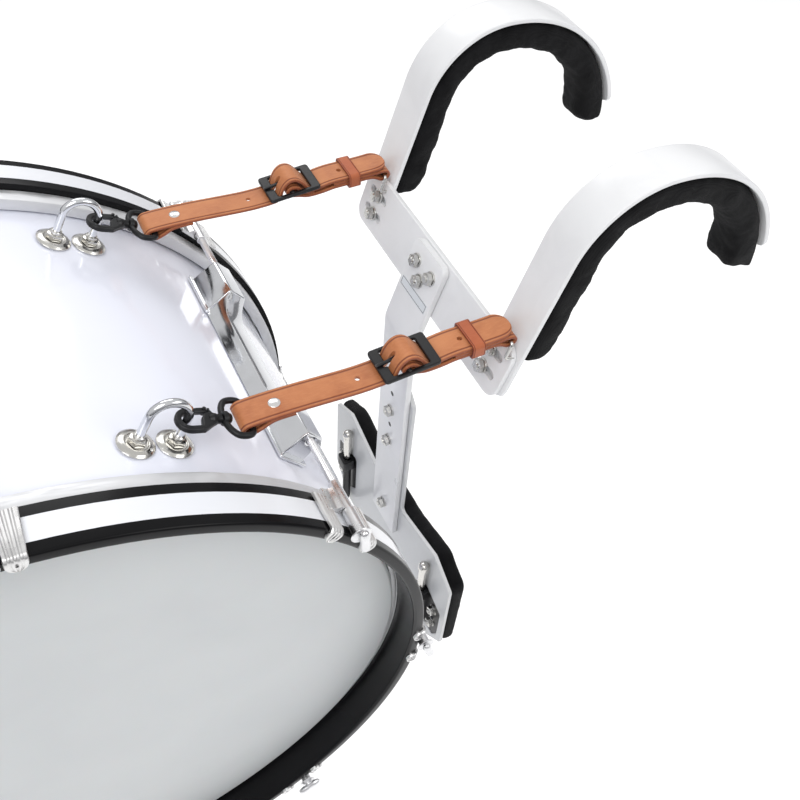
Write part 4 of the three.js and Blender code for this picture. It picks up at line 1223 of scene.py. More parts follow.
def hoop_pieces(side_name, side):
    mirror = Matrix.Identity(4) if side > 0 else mirror_y
    profile = [(hoop_inner, hoop_back), (hoop_outer, hoop_back)]
    profile += [(hoop_outer, hoop_front), (hoop_inner, hoop_front)]
    profile = smooth_profile(profile, [hoop_back_round, hoop_back_round, hoop_round, hoop_inner_round])
    ring = moved(lathe(profile), mirror)
    start = hoop_back + inlay_start
    end = hoop_front - inlay_end
    skin = hoop_outer + inlay_height
    seat = hoop_outer - inlay_sunk
    strip = [(seat, start), (skin, start + inlay_bevel), (skin, end - inlay_bevel), (seat, end)]
    inlay = moved(lathe(strip), mirror)
    nodes = [f"hoop_{side_name}"]
    build(f"counter_hoop_{side_name}", [(ring, black_lacquer)], "frame", nodes)
    build(f"hoop_inlay_{side_name}", [(inlay, inlay_paint)], "frame", ())
    metal, dots = claw_mesh()
    for number, angle in enumerate(lug_angles, 1):
        place = mirror @ around(angle)
        parts = [(moved(metal, place), claw_metal), (moved(dots, place), black_metal)]
        build(f"claw_{side_name}_{number}", parts, "frame", ())


def lug_mesh():
    """A double-ended tube lug at the top of the drum: two box housings on feet, and the bar between them."""
    foot = lug_base + foot_thickness
    half = lug_base_width / 2
    top = lug_base + housing_top + boss_radius
    profile = [
        (-half + foot_inset, lug_base),
        (half - foot_inset, lug_base),
        (half - foot_taper, foot),
        (lug_web, top),
        (-lug_web, top),
        (-half + foot_taper, foot),
    ]
    bore = circle(rod_radius + running_gap, small_steps, (0, rod_circle))
    radii = [0, 0, lug_foot_round, lug_top_round, lug_top_round, lug_foot_round]
    housing = plate(smooth_profile(profile, radii), [bore], housing_length, lug_bevel)
    base = rounded_box(half + lug_pad_side, housing_length / 2 + lug_pad_end, lug_pad_round)
    pad = plate(base, [], lug_pad_height, lug_pad_edge)
    parts = []
    for end in sides.values():
        middle = end * (lug_end - housing_length / 2)
        parts.append(moved(housing, shift(y=middle + housing_length / 2) @ sideways))
        parts.append(moved(pad, shift(y=middle, z=lug_base)))
    parts.append(lug_bar_mesh())
    return merged(*parts)


def lug_bar_mesh():
    """The wide bar between the housings: a creased box section that sweeps up into each housing."""
    inner = lug_end - housing_length
    stations = np.linspace(-inner - foot_thickness, inner + foot_thickness, 81)
    rows = []
    for y in stations:
        beyond = max(0.0, abs(y) - (inner - arch_run))
        share = min(1.0, beyond / arch_run)
        top = lug_base + foot_thickness + bar_height + arch_rise * share**arch_power
        half = bar_width / 2 - bar_narrowing * share
        base = lug_base_width / 2 - bar_foot_inset
        side = [(base, lug_base + bar_foot_gap), (base - bar_foot_bevel, lug_base + bar_foot_inset)]
        side += [(half + bar_waist, lug_base + foot_thickness + weld), (half, top - bar_edge)]
        side += [(half - bar_corner, top - bar_corner), (half - bar_crown, top)]
        section = [*side, *[(-x, z) for x, z in reversed(side)]]
        rows.append([(x, y, z) for x, z in section])
    return loft(rows)


def lug_fixings_mesh():
    """The screws that hold a lug, with their inside washers."""
    seat = shell_radius - shell_wall - contact_gap
    parts = []
    for end in sides.values():
        down = shift(y=end * lug_screw_side, z=seat) @ turn(180, "X")
        parts.append(moved(washer(screw_washer_radius, inside_washer_height), down))
        parts.append(moved(nut(screw_head_radius, screw_head_height), down @ shift(z=inside_washer_height)))
    return merged(*parts)


def lug_pieces():
    body = lug_mesh()
    fixings = lug_fixings_mesh()
    for number, angle in enumerate(lug_angles, 1):
        parts = [(moved(body, around(angle)), chrome), (moved(fixings, around(angle)), plated_steel)]
        build(f"tube_lug_{number}", parts, "frame", [f"lug_{number}"])


key_turn_shares = [0.3, 0.62, 0.45, 0.1, 0.75, 0.9, 0.2, 0.55]


def rod_mesh(key_turn):
    """A key rod at the top of the drum, far side: thread, neck, sleeve, dished collar and T handle."""
    neck_end = bridge_end + contact_gap
    neck_start = neck_end - neck_length
    collar_front = collar_back + collar_thickness
    collar_middle = collar_back + collar_thickness / 2
    stem_end = collar_front + key_stem_length
    start = lug_end - thread_cover
    rings, _ = thread_rings(rod_radius, start + rod_chamfer, neck_start)
    profile = [
        (axis_radius, start),
        (rod_radius - rod_chamfer, start),
        *rings,
        (rod_radius, neck_start - contact_gap),
        (neck_radius - sleeve_chamfer, neck_start),
        (neck_radius, neck_start + sleeve_chamfer),
        (neck_radius, neck_end),
        (sleeve_radius - contact_gap, neck_end),
        (sleeve_radius, neck_end + sleeve_chamfer),
        (sleeve_radius, collar_back - contact_gap),
        (sleeve_radius + rod_chamfer, collar_back),
        (collar_radius - collar_edge, collar_back),
        (collar_radius, collar_back + rod_chamfer),
        (collar_radius - collar_edge, collar_middle),
        (collar_radius - collar_dish, collar_middle - collar_hollow),
        (key_stem_radius + key_fillet, collar_front - contact_gap),
        (key_stem_radius, collar_front + key_fillet / 2),
        (key_stem_radius - rod_chamfer, stem_end),
        (axis_radius, stem_end),
    ]
    body = lathe(profile, boss_steps, False)
    reach = key_length / 2
    path = [(0, 0, z) for z in np.linspace(-reach, reach, key_steps)]
    shares = [1 - (2 * abs(p[2]) / key_length) ** 6 for p in path]
    waist = [1 + key_waist_share * (1 - math.cos(2 * math.pi * p[2] / reach)) / 2 for p in path]
    scales = [max(least_share, math.sqrt(max(0, s)) * w * key_end_share) for s, w in zip(shares, waist)]
    oval = [(x, z * key_oval_share) for x, z in circle(key_radius, wire_steps)]
    bar = sweep(path, oval, (1, 0, 0), False, scales, scales)
    bar = moved(bar, shift(y=stem_end) @ turn(key_turn, "Y"))
    return moved(merged(body, bar), shift(z=rod_circle))


def rod_pieces():
    for index, angle in enumerate(lug_angles):
        mesh = rod_mesh(180 * key_turn_shares[index])
        for side_name, side in sides.items():
            name = f"{side_name}_{index + 1}"
            placed = moved(mesh, around(angle) @ half_turn(side))
            build(f"key_rod_{name}", [(placed, rod_metal)], f"rod_{name}", [f"tension_rod_{name}"])


dish_shares = [(0, 0), (1, 0), (12.9 / 13, 0.3), (11.2 / 13, 0.72), (8.9 / 13, 1)]
dish_seat_share = 0.7


def handle_pieces():
    half = leg_spacing / 2
    arch_centre = shell_radius + handle_height - handle_wire - half
    seat = shell_radius - shell_wall - contact_gap
    path = [(-half, 0, z) for z in np.linspace(seat - leg_inside, arch_centre, 8)[:-1]]
    for t in np.linspace(math.pi, 0, 33):
        path.append((half * math.cos(t), 0, arch_centre + half * math.sin(t)))
    path += [(half, 0, z) for z in np.linspace(arch_centre, seat - leg_inside, 8)[1:]]
    loop = wire(path, handle_wire)
    crest = nut_radius + dish_lip
    seat_height = washer_height * dish_seat_share
    dish = [(washer_radius * r, washer_height * z) for r, z in dish_shares]
    dish += [(crest, washer_height), (crest - dish_round, seat_height), (0, seat_height)]
    collar_top = leg_collar_height + leg_collar_bevel
    collar = [(0, 0), (leg_collar_radius, 0), (leg_collar_radius, leg_collar_height)]
    collar += [(leg_collar_radius - leg_collar_slope, collar_top), (0, collar_top)]
    dished = lathe_up(smooth_profile(dish, dish_round, edge_corner_steps, False))
    parts = []
    for x in (-half, half):
        parts.append(moved(dished, shift(x=x, z=lug_base)))
        parts.append(moved(nut(nut_radius, nut_height), shift(x=x, z=lug_base + seat_height)))
        parts.append(moved(lathe_up(collar), shift(x=x, z=lug_base + seat_height + nut_height)))
        down = shift(x=x, z=seat) @ turn(180, "X")
        parts.append(moved(washer(inside_nut_washer_radius, inside_washer_height), down))
        parts.append(moved(nut(nut_radius, nut_height), down @ shift(z=inside_washer_height)))
    fittings = merged(*parts)
    for side_name, side in sides.items():
        place = shift(y=side * strap_plane) @ around(handle_angle)
        pieces = [(moved(loop, place), chrome), (moved(fittings, place), nickel)]
        build(f"u_handle_{side_name}", pieces, "frame", [f"handle_{side_name}"])


# Snap hooks, in a frame at the handle's leg with X towards the strap

leg_radius = shell_radius + hook_seat
leg_turn = math.radians(handle_angle)
leg_x = leg_radius * math.cos(leg_turn) + leg_spacing / 2 * math.sin(leg_turn)
leg_z = leg_radius * math.sin(leg_turn) - leg_spacing / 2 * math.cos(leg_turn)
bar_z = strap_run_z - ring_wire - strap_gap - strap_thickness / 2
hook_reach = math.hypot(bar_x - leg_x, bar_z - leg_z)
hook_turn = math.degrees(math.atan2(leg_z - bar_z, bar_x - leg_x))
jaw_left = -handle_wire - running_gap
hook_tip = jaw_left - hook_wire
hook_end = hook_tip + hook_body
neck_end = hook_end + hook_neck_length
barrel_start = neck_end + contact_gap
barrel_end = barrel_start + barrel_length
slot_half_width = hook_width / 2 - hook_wire
gate_pivot = jaw_left + hook_slot - gate_pivot_inset
gate_middle = (slot_half_width + hook_width / 2) / 2


def lathe_along(profile, steps=boss_steps):
    """A profile of (radius, x) about the X axis, starting and ending on it."""
    return moved(lathe([(max(r, axis_radius), x) for r, x in profile], steps, False), along_x)


def arc(radius, start, end, steps, centre):
    """Points along an arc, its angles in half turns."""
    turns = np.linspace(start, end, steps) * math.pi
    return [(centre[0] + radius * math.cos(t), centre[1] + radius * math.sin(t)) for t in turns]


def on_both_faces(fitting, x, y, height):
    """A small fitting on the hook's two flat faces, at a height above its middle."""
    return [moved(fitting, shift(x, y, height)), moved(fitting, shift(x, y, -height) @ turn(180, "X"))]


hook_slot_end_shares = [(-0.9, 0.3), (-1.1, -0.4)]
hook_slot_run_share = 1.35


def hook_mesh():
    """The cast body of a snap hook: a flat teardrop with an eye, open where the gate closes it."""
    half = hook_width / 2
    inner = slot_half_width
    centre = hook_tip + half
    neck = hook_neck_radius + hook_neck_flare
    pivot_end = gate_pivot + gate_width / 2 + contact_gap
    gap_end = gate_gap_start - contact_gap
    outline = [(gap_end, half), (centre, half)]
    outline += arc(half, 0.5, 1.5, 17, (centre, 0))[1:]
    outline += [(gate_pivot - gate_width, -half), (hook_end - hook_shoulder_run, -neck - hook_shoulder)]
    outline += [(hook_end, -neck), (hook_end, neck), (hook_end - hook_shoulder_run / 2, neck + hook_shoulder)]
    outline += [(pivot_end + hook_pivot_bevel, half - hook_pivot_bevel), (pivot_end, half - hook_pivot_drop)]
    outline.append((pivot_end - hook_pivot_slope, inner - hook_pivot_slope * 2))
    outline.append((gate_pivot, inner - contact_gap))
    outline += [(gate_pivot + gate_width * x, gate_width * y) for x, y in hook_slot_end_shares]
    outline.append((gate_pivot - gate_width * hook_slot_run_share, -inner))
    outline += arc(inner, 1.5, 0.5, 15, (centre, 0))
    outline.append((gap_end, inner))
    loop = moved(plate(outline, [], hook_thickness, hook_edge), shift(z=-hook_thickness / 2))
    crown = hook_rivet_height - hook_rivet_bevel / 2
    rivet = [(0, 0), (hook_rivet_radius, 0), (hook_rivet_radius - hook_rivet_bevel, crown)]
    rivet.append((0, hook_rivet_height))
    rivet = lathe_up(rivet, small_steps)
    rivets = on_both_faces(rivet, gate_pivot + hook_rivet_place, 0, hook_thickness / 2 - hook_rivet_sunk)
    head_start = barrel_end + contact_gap
    head_end = head_start + hook_head_length
    stem = [
        (0, hook_end - hook_cheek_run - rod_chamfer),
        (hook_neck_radius - neck_bevel, hook_end - hook_cheek_run),
        (hook_neck_radius + hook_cheek_height, hook_end - hook_cheek_run / 2),
        (hook_neck_radius + neck_bevel, hook_end),
        (hook_neck_radius, hook_end + neck_bevel * 2),
        (hook_neck_radius, neck_end - rod_chamfer),
        (hook_neck_radius - hook_neck_flare, neck_end),
        (hook_stem_radius, neck_end),
        (hook_stem_radius, head_start),
        (hook_head_radius - neck_bevel, head_start),
        (hook_head_radius, head_start + rod_chamfer),
        (hook_head_radius - hook_head_taper, head_end),
        (0, head_end),
    ]
    return merged(loop, lathe_along(stem), *rivets)


def gate_mesh():
    half = gate_width / 2
    end = gate_gap_start + contact_gap
    outline = [(end, gate_middle - half), (gate_pivot, gate_middle - half)]
    outline += arc(half, -0.5, 0.5, 13, (gate_pivot, gate_middle))[1:]
    outline.append((end, gate_middle + half))
    thickness = hook_thickness - contact_gap * 2
    tongue = plate(outline, [], thickness, gate_edge)
    slope = gate_pin_height / 3
    pin = [(0, 0), (gate_pin_radius - gate_pin_lip, 0), (gate_pin_radius, slope)]
    pin = lathe_up([*pin, (gate_pin_radius, slope * 2), (0, gate_pin_height)], small_steps)
    pins = on_both_faces(pin, gate_pivot, gate_middle, hook_thickness / 2 + gate_pin_lip)
    return merged(moved(tongue, shift(z=-thickness / 2)), *pins)


def catmull(points, steps, closed=False):
    """A centripetal curve through points of two or three coordinates."""
    points = [np.array(p, float) for p in points]
    count = len(points)
    spans = count if closed else count - 1
    result = []
    for i in range(spans):
        p1, p2 = points[i], points[(i + 1) % count]
        p0 = points[i - 1] if closed or i else p1 * 2 - p2
        after = i + 2
        p3 = points[after % count] if closed or after < count else p2 * 2 - p1
        gaps = [max(np.linalg.norm(b - a) ** 0.5, 1e-4) for a, b in ((p0, p1), (p1, p2), (p2, p3))]
        t1 = (p1 - p0) / gaps[0] - (p2 - p0) / (gaps[0] + gaps[1]) + (p2 - p1) / gaps[1]
        t2 = (p2 - p1) / gaps[1] - (p3 - p1) / (gaps[1] + gaps[2]) + (p3 - p2) / gaps[2]
        t1, t2 = t1 * gaps[1], t2 * gaps[1]
        for s in np.linspace(0, 1, steps, endpoint=False):
            c2 = -3 * p1 + 3 * p2 - 2 * t1 - t2
            c3 = 2 * p1 - 2 * p2 + t1 + t2
            result.append(p1 + t1 * s + c2 * s**2 + c3 * s**3)
    if not closed:
        result.append(points[-1])
    return result


ring_shares = [(-0.04, 0.22), (0.1, 0.7), (0.34, 0.97), (0.8, 1), (1, 0.84)]


def ring_mesh():
    half = ring_width / 2 - ring_wire
    start = (barrel_start + barrel_end) / 2
    span = hook_reach - start
    upper = [(start + along * span, across * half, 0) for along, across in ring_shares]
    lower = [(x, -y, 0) for x, y, _ in reversed(upper)]
    ring = wire(catmull([*upper, *lower], 8, True), ring_wire, (0, 0, 1), True)
    bore = hook_stem_radius + barrel_bore_gap
    outer = barrel_radius
    profile = [(bore, barrel_start), (outer, barrel_start), (outer, barrel_end), (bore, barrel_end)]
    profile = smooth_profile(profile, [0, barrel_round, barrel_round, 0])
    barrel = moved(lathe(profile, boss_steps), along_x)
    return merged(ring, barrel)


def hook_pieces():
    pieces = [
        ("snap_hook", "snap", "hook", hook_mesh()),
        ("snap_gate", "gate", "hook_gate", gate_mesh()),
        ("wire_ring", "ring", "hook_loop", ring_mesh()),
    ]
    for side_name, side in sides.items():
        place = shift(leg_x, side * strap_plane, leg_z) @ turn(hook_turn, "Y")
        for name, body, node, mesh in pieces:
            parts = [(moved(mesh, place), black_metal)]
            nodes = [f"{node}_{side_name}"]
            build(f"{name}_{side_name}", parts, f"{body}_{side_name}", nodes)


# Straps, in X and Z, along nearly the same routes as the solids

long_route = [
    (238, 266.6), (222, 266.5), (214, 262.9), (208, 261.1), (203.4, 261.8), (201, 265.4), (203.5, 268.8),
    (208, 269.5), (222, 269.5), (245, 268.4), (268, 266.6), (286, 265.4), (297, 265.4), (305, 265.9),
    (308.8, 266.6), (311.8, 270), (313.6, 275), (316.6, 279.8), (321, 282.6), (326, 282), (331, 277.8),
    (335, 272.4), (338.6, 269.2), (343, 268.5), (350, 270), (359, 271), (377, 271), (395, 271.2),
    (402, 271.6), (408.5, 271.4),
]
short_route = [
    (341, 266.4), (335.5, 267.1), (331, 270), (326.5, 274.2), (322, 275.2), (319.2, 273.9), (318.3, 271.3),
    (319.4, 268.9), (322, 267.8), (328, 266.2), (335, 264), (341, 263.6), (350, 264.1), (359, 265.2),
    (377, 265.2), (393, 265.1), (398, 263.4), (402.5, 260.9), (406.5, 260.6), (409.6, 263.3),
    (408.6, 266.9), (405, 268.3), (397, 268.1), (377, 268.1), (359, 268.1),
]
strap_edge_shares = [(1, 0), (0.985, 0.62), (0.94, 0.93), (0.9, 1), (0.84, 1), (0.8, 0.82), (0.76, 1)]
strap_edge_shares += [(0.6, 1), (0.3, 1)]


def strap_section():
    """Across a strap: rounded edges and a pressed crease near each of them, on both faces."""
    top = [*strap_edge_shares, (0, 1), *[(-a, b) for a, b in reversed(strap_edge_shares)]]
    bottom = [(a, -b) for a, b in reversed(top)][1:-1]
    return [(a * strap_width / 2, b * strap_thickness / 2) for a, b in [*top, *bottom]]


def strap_mesh(route, tip=None):
    """A strap along a route. tip is where a rounded end comes to, along X."""
    points = catmull(route, route_steps)
    if tip is not None:
        round_start = tip - strap_tip_radius
        kept = [p for p in points if p[0] < round_start or p[1] < strap_run_z - strap_thickness]
        tail_x, tail_z = np.array([p for p in points if p[0] >= round_start]).T
        steps = np.sin(np.linspace(0, math.pi / 2, strap_tip_steps))[1:]
        places = kept[-1][0] + (tip - kept[-1][0]) * steps
        points = [*kept, *[(x, np.interp(x, tail_x, tail_z)) for x in places]]
    widths = []
    for x, _ in points:
        beyond = 0 if tip is None else max(0, x - (tip - strap_tip_radius)) / strap_tip_radius
        corner = strap_width / 2 - strap_tip_radius
        rounding = math.sqrt(max(0.0, 1 - min(1, beyond) ** 2)) * strap_tip_radius
        widths.append(1 if beyond <= 0 else max(least_share, (corner + rounding) / (strap_width / 2)))
    section = strap_section()
    path = [(x, 0, z) for x, z in points]
    vertices, faces, _ = sweep(path, section, (0, 1, 0), False, widths)
    across = [a / (strap_width / 2) for _ in path for a, _ in section]
    return vertices, faces, np.array(across)


def cut_holes(piece, cutters):
    """Cuts shapes out of a piece, with no modifier left on it."""
    vertices, faces = [], []
    for points, polygons, _ in cutters:
        start = len(vertices)
        vertices += [row_place(p) for p in points]
        faces += [tuple(i + start for i in face) for face in polygons]
    shape = bpy.data.meshes.new("cutter")
    shape.from_pydata(vertices, [], faces)
    cutter = new_object("cutter", shape)
    cut = piece.modifiers.new("holes", "BOOLEAN")
    cut.object = cutter
    cut.solver = "EXACT"
    cut.use_self = True
    apply_modifiers(piece)
    bpy.data.objects.remove(cutter)
    piece.data.set_sharp_from_angle(angle=math.radians(cut_sharp_angle))


def upright_cutter(outline, low, high):
    """A closed prism along Z over an outline in X and Y."""
    count = len(outline)
    vertices = [(x, y, low) for x, y in outline] + [(x, y, high) for x, y in outline]
    faces = [tuple(range(count))[::-1], tuple(range(count, 2 * count))]
    faces += [(k, (k + 1) % count, count + (k + 1) % count, count + k) for k in range(count)]
    return mesh_of(vertices, faces)


rivet_cap_shares = [(0, -0.5), (1, -0.5), (1, 0.125), (0.8, 0.7), (0, 1)]
rivet_under_shares = [(0, -0.375), (0.8, -0.375), (0.5, 0.625), (0, 0.75)]


def rivet_mesh():
    """A strap's rivet: a flat cap on the upper layer and a burr under the lower one."""
    cap, under = [
        lathe_up([(rivet_radius * r, rivet_height * z) for r, z in shares])
        for shares in (rivet_cap_shares, rivet_under_shares)
    ]
    top = strap_run_z + strap_thickness / 2
    low = strap_run_z - strap_thickness * 1.5 - strap_gap
    return merged(moved(cap, shift(x=rivet_x, z=top)), moved(under, shift(x=rivet_x, z=low) @ turn(180, "X")))


def strap_pieces():
    long_strap = strap_mesh(long_route, strap_tip_x)
    short_strap = strap_mesh(short_route)
    rivet = rivet_mesh()
    low = strap_run_z - hole_cutter_low
    eye = buckle_bar_radius + buckle_eye_gap * 2 + buckle_prong_thickness + contact_gap
    reach = eye + fold_cutter_gap
    for name, side in sides.items():
        middle = side * strap_plane
        place = shift(y=middle)
        leather = [(moved(long_strap, place), tan_leather)]
        piece = build(f"buckle_strap_{name}", leather, "frame", [f"strap_long_{name}"])
        rounds = [circle(strap_hole_radius, small_steps, (x, middle)) for x in strap_hole_places]
        holes = [upright_cutter(hole, low, strap_run_z + hole_cutter_high) for hole in rounds]
        slot = rounded_box(prong_slot_half, prong_slot_side, prong_slot_round, (prong_slot_place, middle))
        holes.append(upright_cutter(slot, low, strap_run_z + slot_cutter_high))
        cut_holes(piece, holes)
        build(f"strap_rivet_{name}", [(moved(rivet, place), rivet_metal)], "frame", ())
        leather = [(moved(short_strap, place), tan_leather)]
        folded = build(f"fold_strap_{name}", leather, "frame", [f"strap_short_{name}"])
        gap = rounded_box(eye, fold_slot_side, fold_slot_round, (buckle_x, middle))
        cut_holes(folded, [upright_cutter(gap, buckle_z - reach, buckle_z + reach)])


keeper_edge_shares = [(1, 0.3), (0.97, 0.8), (0.9, 1), (0.83, 1), (0.8, 0.75), (0.77, 1), (0.4, 1)]


def keeper_pieces():
    low = keeper_low - strap_thickness / 2 - strap_gap
    high = keeper_high + strap_thickness / 2 + strap_gap
    wall = keeper_wall / 2
    reach = strap_width / 2 + strap_gap + wall
    loop = rounded_box(reach, (high - low) / 2 + wall, keeper_corner, (0, (low + high) / 2))
    path = [(0, y, z) for y, z in loop]
    half = keeper_length / 2
    top = [*keeper_edge_shares, *[(-a, b) for a, b in reversed(keeper_edge_shares)]]
    bottom = [(a, -b) for a, b in reversed(top)]
    section = [(a * half, b * wall) for a, b in [*top, *bottom]]
    vertices, faces, _ = sweep(path, section, (1, 0, 0), True)
    across = np.array([a / half for _ in path for a, _ in section])
    for name, side in sides.items():
        band = moved((vertices, faces, across), shift(x=keeper_x, y=side * strap_plane))
        parts = [(band, keeper_leather)]
        build(f"keeper_band_{name}", parts, f"loop_{name}", [f"keeper_{name}"])


buckle_prong_rises = [1.4, 0.4, -0.25]
buckle_eye_shares = [-0.6, 0.55]
buckle_prong_rest_share = 0.4
buckle_prong_taper_share = 0.25


def buckle_meshes():
    """The frame with its centre bar, and the prong that turns on it, in a frame at that bar."""
    inner_half = strap_width / 2 + strap_gap
    left = -buckle_left - buckle_bar / 2
    right = buckle_right + buckle_bar / 2
    middle = (left + right) / 2
    half = (right - left) / 2
    window = half - buckle_bar
    notch = buckle_prong_width / 2 + buckle_eye_gap
    floor = window + notch_depth
    corners = [(-window, -inner_half), (window, -inner_half), (window, inner_half), (-window, inner_half)]
    corners += [(-window, notch), (-floor, notch), (-floor, -notch), (-window, -notch)]
    notch_rounds = [notch_mouth_round, notch_floor_round]
    radii = [*[buckle_window_round] * 4, *notch_rounds, *reversed(notch_rounds)]
    hole = [(x + middle, y) for x, y in smooth_profile(corners, radii, edge_corner_steps)]
    outline = rounded_box(half, inner_half + buckle_rail, buckle_round, (middle, 0))
    flat = plate(outline, [hole], buckle_thickness, buckle_edge)
    frame_ring = moved(flat, shift(z=-buckle_thickness / 2))
    bar = [(0, y, 0) for y in np.linspace(-inner_half - weld, inner_half + weld, 5)]
    body = merged(frame_ring, wire(bar, buckle_bar_radius, (1, 0, 0)))
    rest = buckle_thickness / 2 + contact_gap + buckle_prong_thickness * buckle_prong_rest_share
    inner = buckle_bar_radius + buckle_eye_gap
    centre = inner + buckle_prong_thickness / 2
    eye = [(x, 0, z) for x, z in arc(centre, *buckle_eye_shares, 19, (0, 0))]
    tip = -buckle_left - buckle_bar / 2 - buckle_prong_end
    places = [-inner - buckle_prong_step, -buckle_prong_middle, tip]
    tongue = catmull([eye[-1], *[(x, 0, rest + rise) for x, rise in zip(places, buckle_prong_rises)]], 8)
    path = [*eye[:-1], *tongue]
    taper = [1 - buckle_prong_taper_share * max(0, i - len(eye)) / len(tongue) for i in range(len(path))]
    half_width, half_depth = buckle_prong_width / 2, buckle_prong_thickness / 2 - buckle_prong_edge
    shape = rounded_box(half_width, half_depth, buckle_prong_round, steps=edge_corner_steps)
    prong = sweep(path, shape, (0, 1, 0), False, taper, taper)
    return body, prong


def buckle_pieces():
    body, prong = buckle_meshes()
    for name, side in sides.items():
        place = shift(buckle_x, side * strap_plane, buckle_z) @ turn(-buckle_tilt, "Y")
        parts = [(moved(body, place), black_metal)]
        build(f"bar_buckle_{name}", parts, "frame", [f"buckle_{name}"])
        parts = [(moved(prong, place), black_metal)]
        build(f"prong_{name}", parts, f"prong_{name}", [f"buckle_prong_{name}"])


# Carrier. The leaning frame sits at the spine's bend, with Z along the leaning plates.

lean = shift(spine_front, 0, bend_z) @ turn(carrier_lean, "Y")


def flat_section(half, thickness, edge):
    return rounded_box(half, thickness / 2, edge, steps=edge_corner_steps)


def spine_piece():
    """A bent strip with a rounded head, its height holes shown as thin black discs of painted shade, and its
    bolts.
    """
    half = spine_width / 2
    middle = spine_thickness / 2
    tilt = math.radians(carrier_lean)
    reach = spine_turn_radius * math.tan(tilt / 2)
    path = [(spine_front + middle, 0, z) for z in np.linspace(bend_z - spine_foot, bend_z - reach, 30)]
    for t in np.linspace(0, tilt, 9)[1:]:
        x = spine_front + middle + spine_turn_radius * (1 - math.cos(t))
        path.append((x, 0, bend_z - reach + spine_turn_radius * math.sin(t)))
    start = np.array(path[-1])
    direction = np.array([math.sin(tilt), 0, math.cos(tilt)])
    end_length = spine_head - reach - spine_end_gap
    corner_share = spine_head_corner / end_length
    shares = [*np.linspace(least_share, 1 - corner_share, 12)]
    shares += [1 - corner_share * (1 - math.sin(t)) for t in np.linspace(0, math.pi / 2, 10)[1:]]
    path += [tuple(start + direction * end_length * s) for s in shares]
    widths = []
    for i in range(len(path)):
        index = i - (len(path) - len(shares))
        beyond = 0 if index < 0 else max(0, shares[index] - (1 - corner_share)) * end_length
        corner = spine_head_corner - math.sqrt(max(0, spine_head_corner**2 - beyond**2))
        widths.append(1 - corner / half)
    strip = sweep(path, flat_section(half, spine_thickness, spine_edge), (0, 1, 0), False, widths)
    bolts = []
    for y, z in ((head_bolt_side, head_bolt_high), (0, head_bolt_low), (-head_bolt_side, head_bolt_high)):
        bolts.append(moved(bolt(), lean @ facing_front(0, y, z)))
    for z in spine_bolt_heights:
        bolts.append(moved(bolt(), facing_front(spine_front, 0, z)))
    # Painted shade: a thin black disc on the spine's front face stands for the darkness inside each height
    # hole
    rim = [(0, 0), (spine_hole_radius, 0), (spine_hole_radius, hole_shade_height), (0, hole_shade_height)]
    hole_shade_disc = lathe_up(rim, small_steps)
    holes = [moved(hole_shade_disc, facing_front(spine_front, 0, z)) for z in spine_hole_heights]
    parts = [(strip, carrier_paint), (merged(*bolts), plated_steel), (merged(*holes), black_metal)]
    build("bent_spine", parts, "frame", ["spine"])


def staple_mesh(side):
    tilt = math.radians(carrier_lean)
    dx, dz = staple_x - spine_front, staple_z - bend_z
    x = dx * math.cos(tilt) - dz * math.sin(tilt)
    z = dx * math.sin(tilt) + dz * math.cos(tilt)
    reach = strap_width / 2 + strap_gap + staple_wire
    middle = side * strap_plane
    foot = crossbar_front + crossbar_thickness / 2
    corners = [(foot, -reach, staple_foot), (x, -reach, staple_foot), (x, -reach, z), (x, reach, z)]
    corners += [(x, reach, staple_foot), (foot, reach, staple_foot)]
    path = [corners[0]]
    for before, here, after in zip(corners, corners[1:], corners[2:]):
        a, b, c = (np.array(p, float) for p in (before, here, after))
        start = b + (a - b) / np.linalg.norm(a - b) * staple_corner
        end = b + (c - b) / np.linalg.norm(c - b) * staple_corner
        for s in np.linspace(0, 1, 6):
            path.append(tuple(start * (1 - s) ** 2 + b * 2 * s * (1 - s) + end * s**2))
    path.append(corners[-1])
    return moved(wire(path, staple_wire, (0, 0, 1)), lean @ shift(y=middle))


def crossbar_piece():
    outline = rounded_box(crossbar_half, crossbar_height / 2, crossbar_corner, (0, crossbar_centre), 8)
    slots = []
    for side in sides.values():
        for row in (-slot_row, slot_row):
            centre = (side * slot_centre, crossbar_centre + row)
            slots.append(rounded_box(slot_half, slot_width / 2, slot_width / 2, centre))
    body = plate(outline, slots, crossbar_thickness, carrier_edge)
    body = moved(body, lean @ shift(x=crossbar_front) @ upright)
    staples = merged(*[staple_mesh(side) for side in sides.values()])
    parts = [(body, carrier_paint), (staples, plated_steel)]
    build("slotted_crossbar", parts, "frame", ["crossbar"])


def arm_line(start, overhang=0.0, steps=24):
    """Points and outward normals of an arm's outer line, in the leaning frame's X and Z."""
    straight_end = arm_foot + arm_straight
    line = [((arm_front, z), (-1.0, 0.0)) for z in np.linspace(start, straight_end, steps)[:-1]]
    bend_x = arm_front + arm_bend_radius
    bend_end = math.radians(180 - arm_bend_turn)
    for t in np.linspace(math.pi, bend_end, steps):
        normal = (math.cos(t), math.sin(t))
        place = (bend_x + arm_bend_radius * normal[0], straight_end + arm_bend_radius * normal[1])
        line.append((place, normal))
    (joint_x, joint_z), normal = line[-1]
    centre = (joint_x - arch_radius * normal[0], joint_z - arch_radius * normal[1])
    span = math.radians(arch_turn) + overhang / arch_radius
    for t in np.linspace(bend_end, bend_end - span, steps * 2)[1:]:
        normal = (math.cos(t), math.sin(t))
        line.append(((centre[0] + arch_radius * normal[0], centre[1] + arch_radius * normal[1]), normal))
    return line


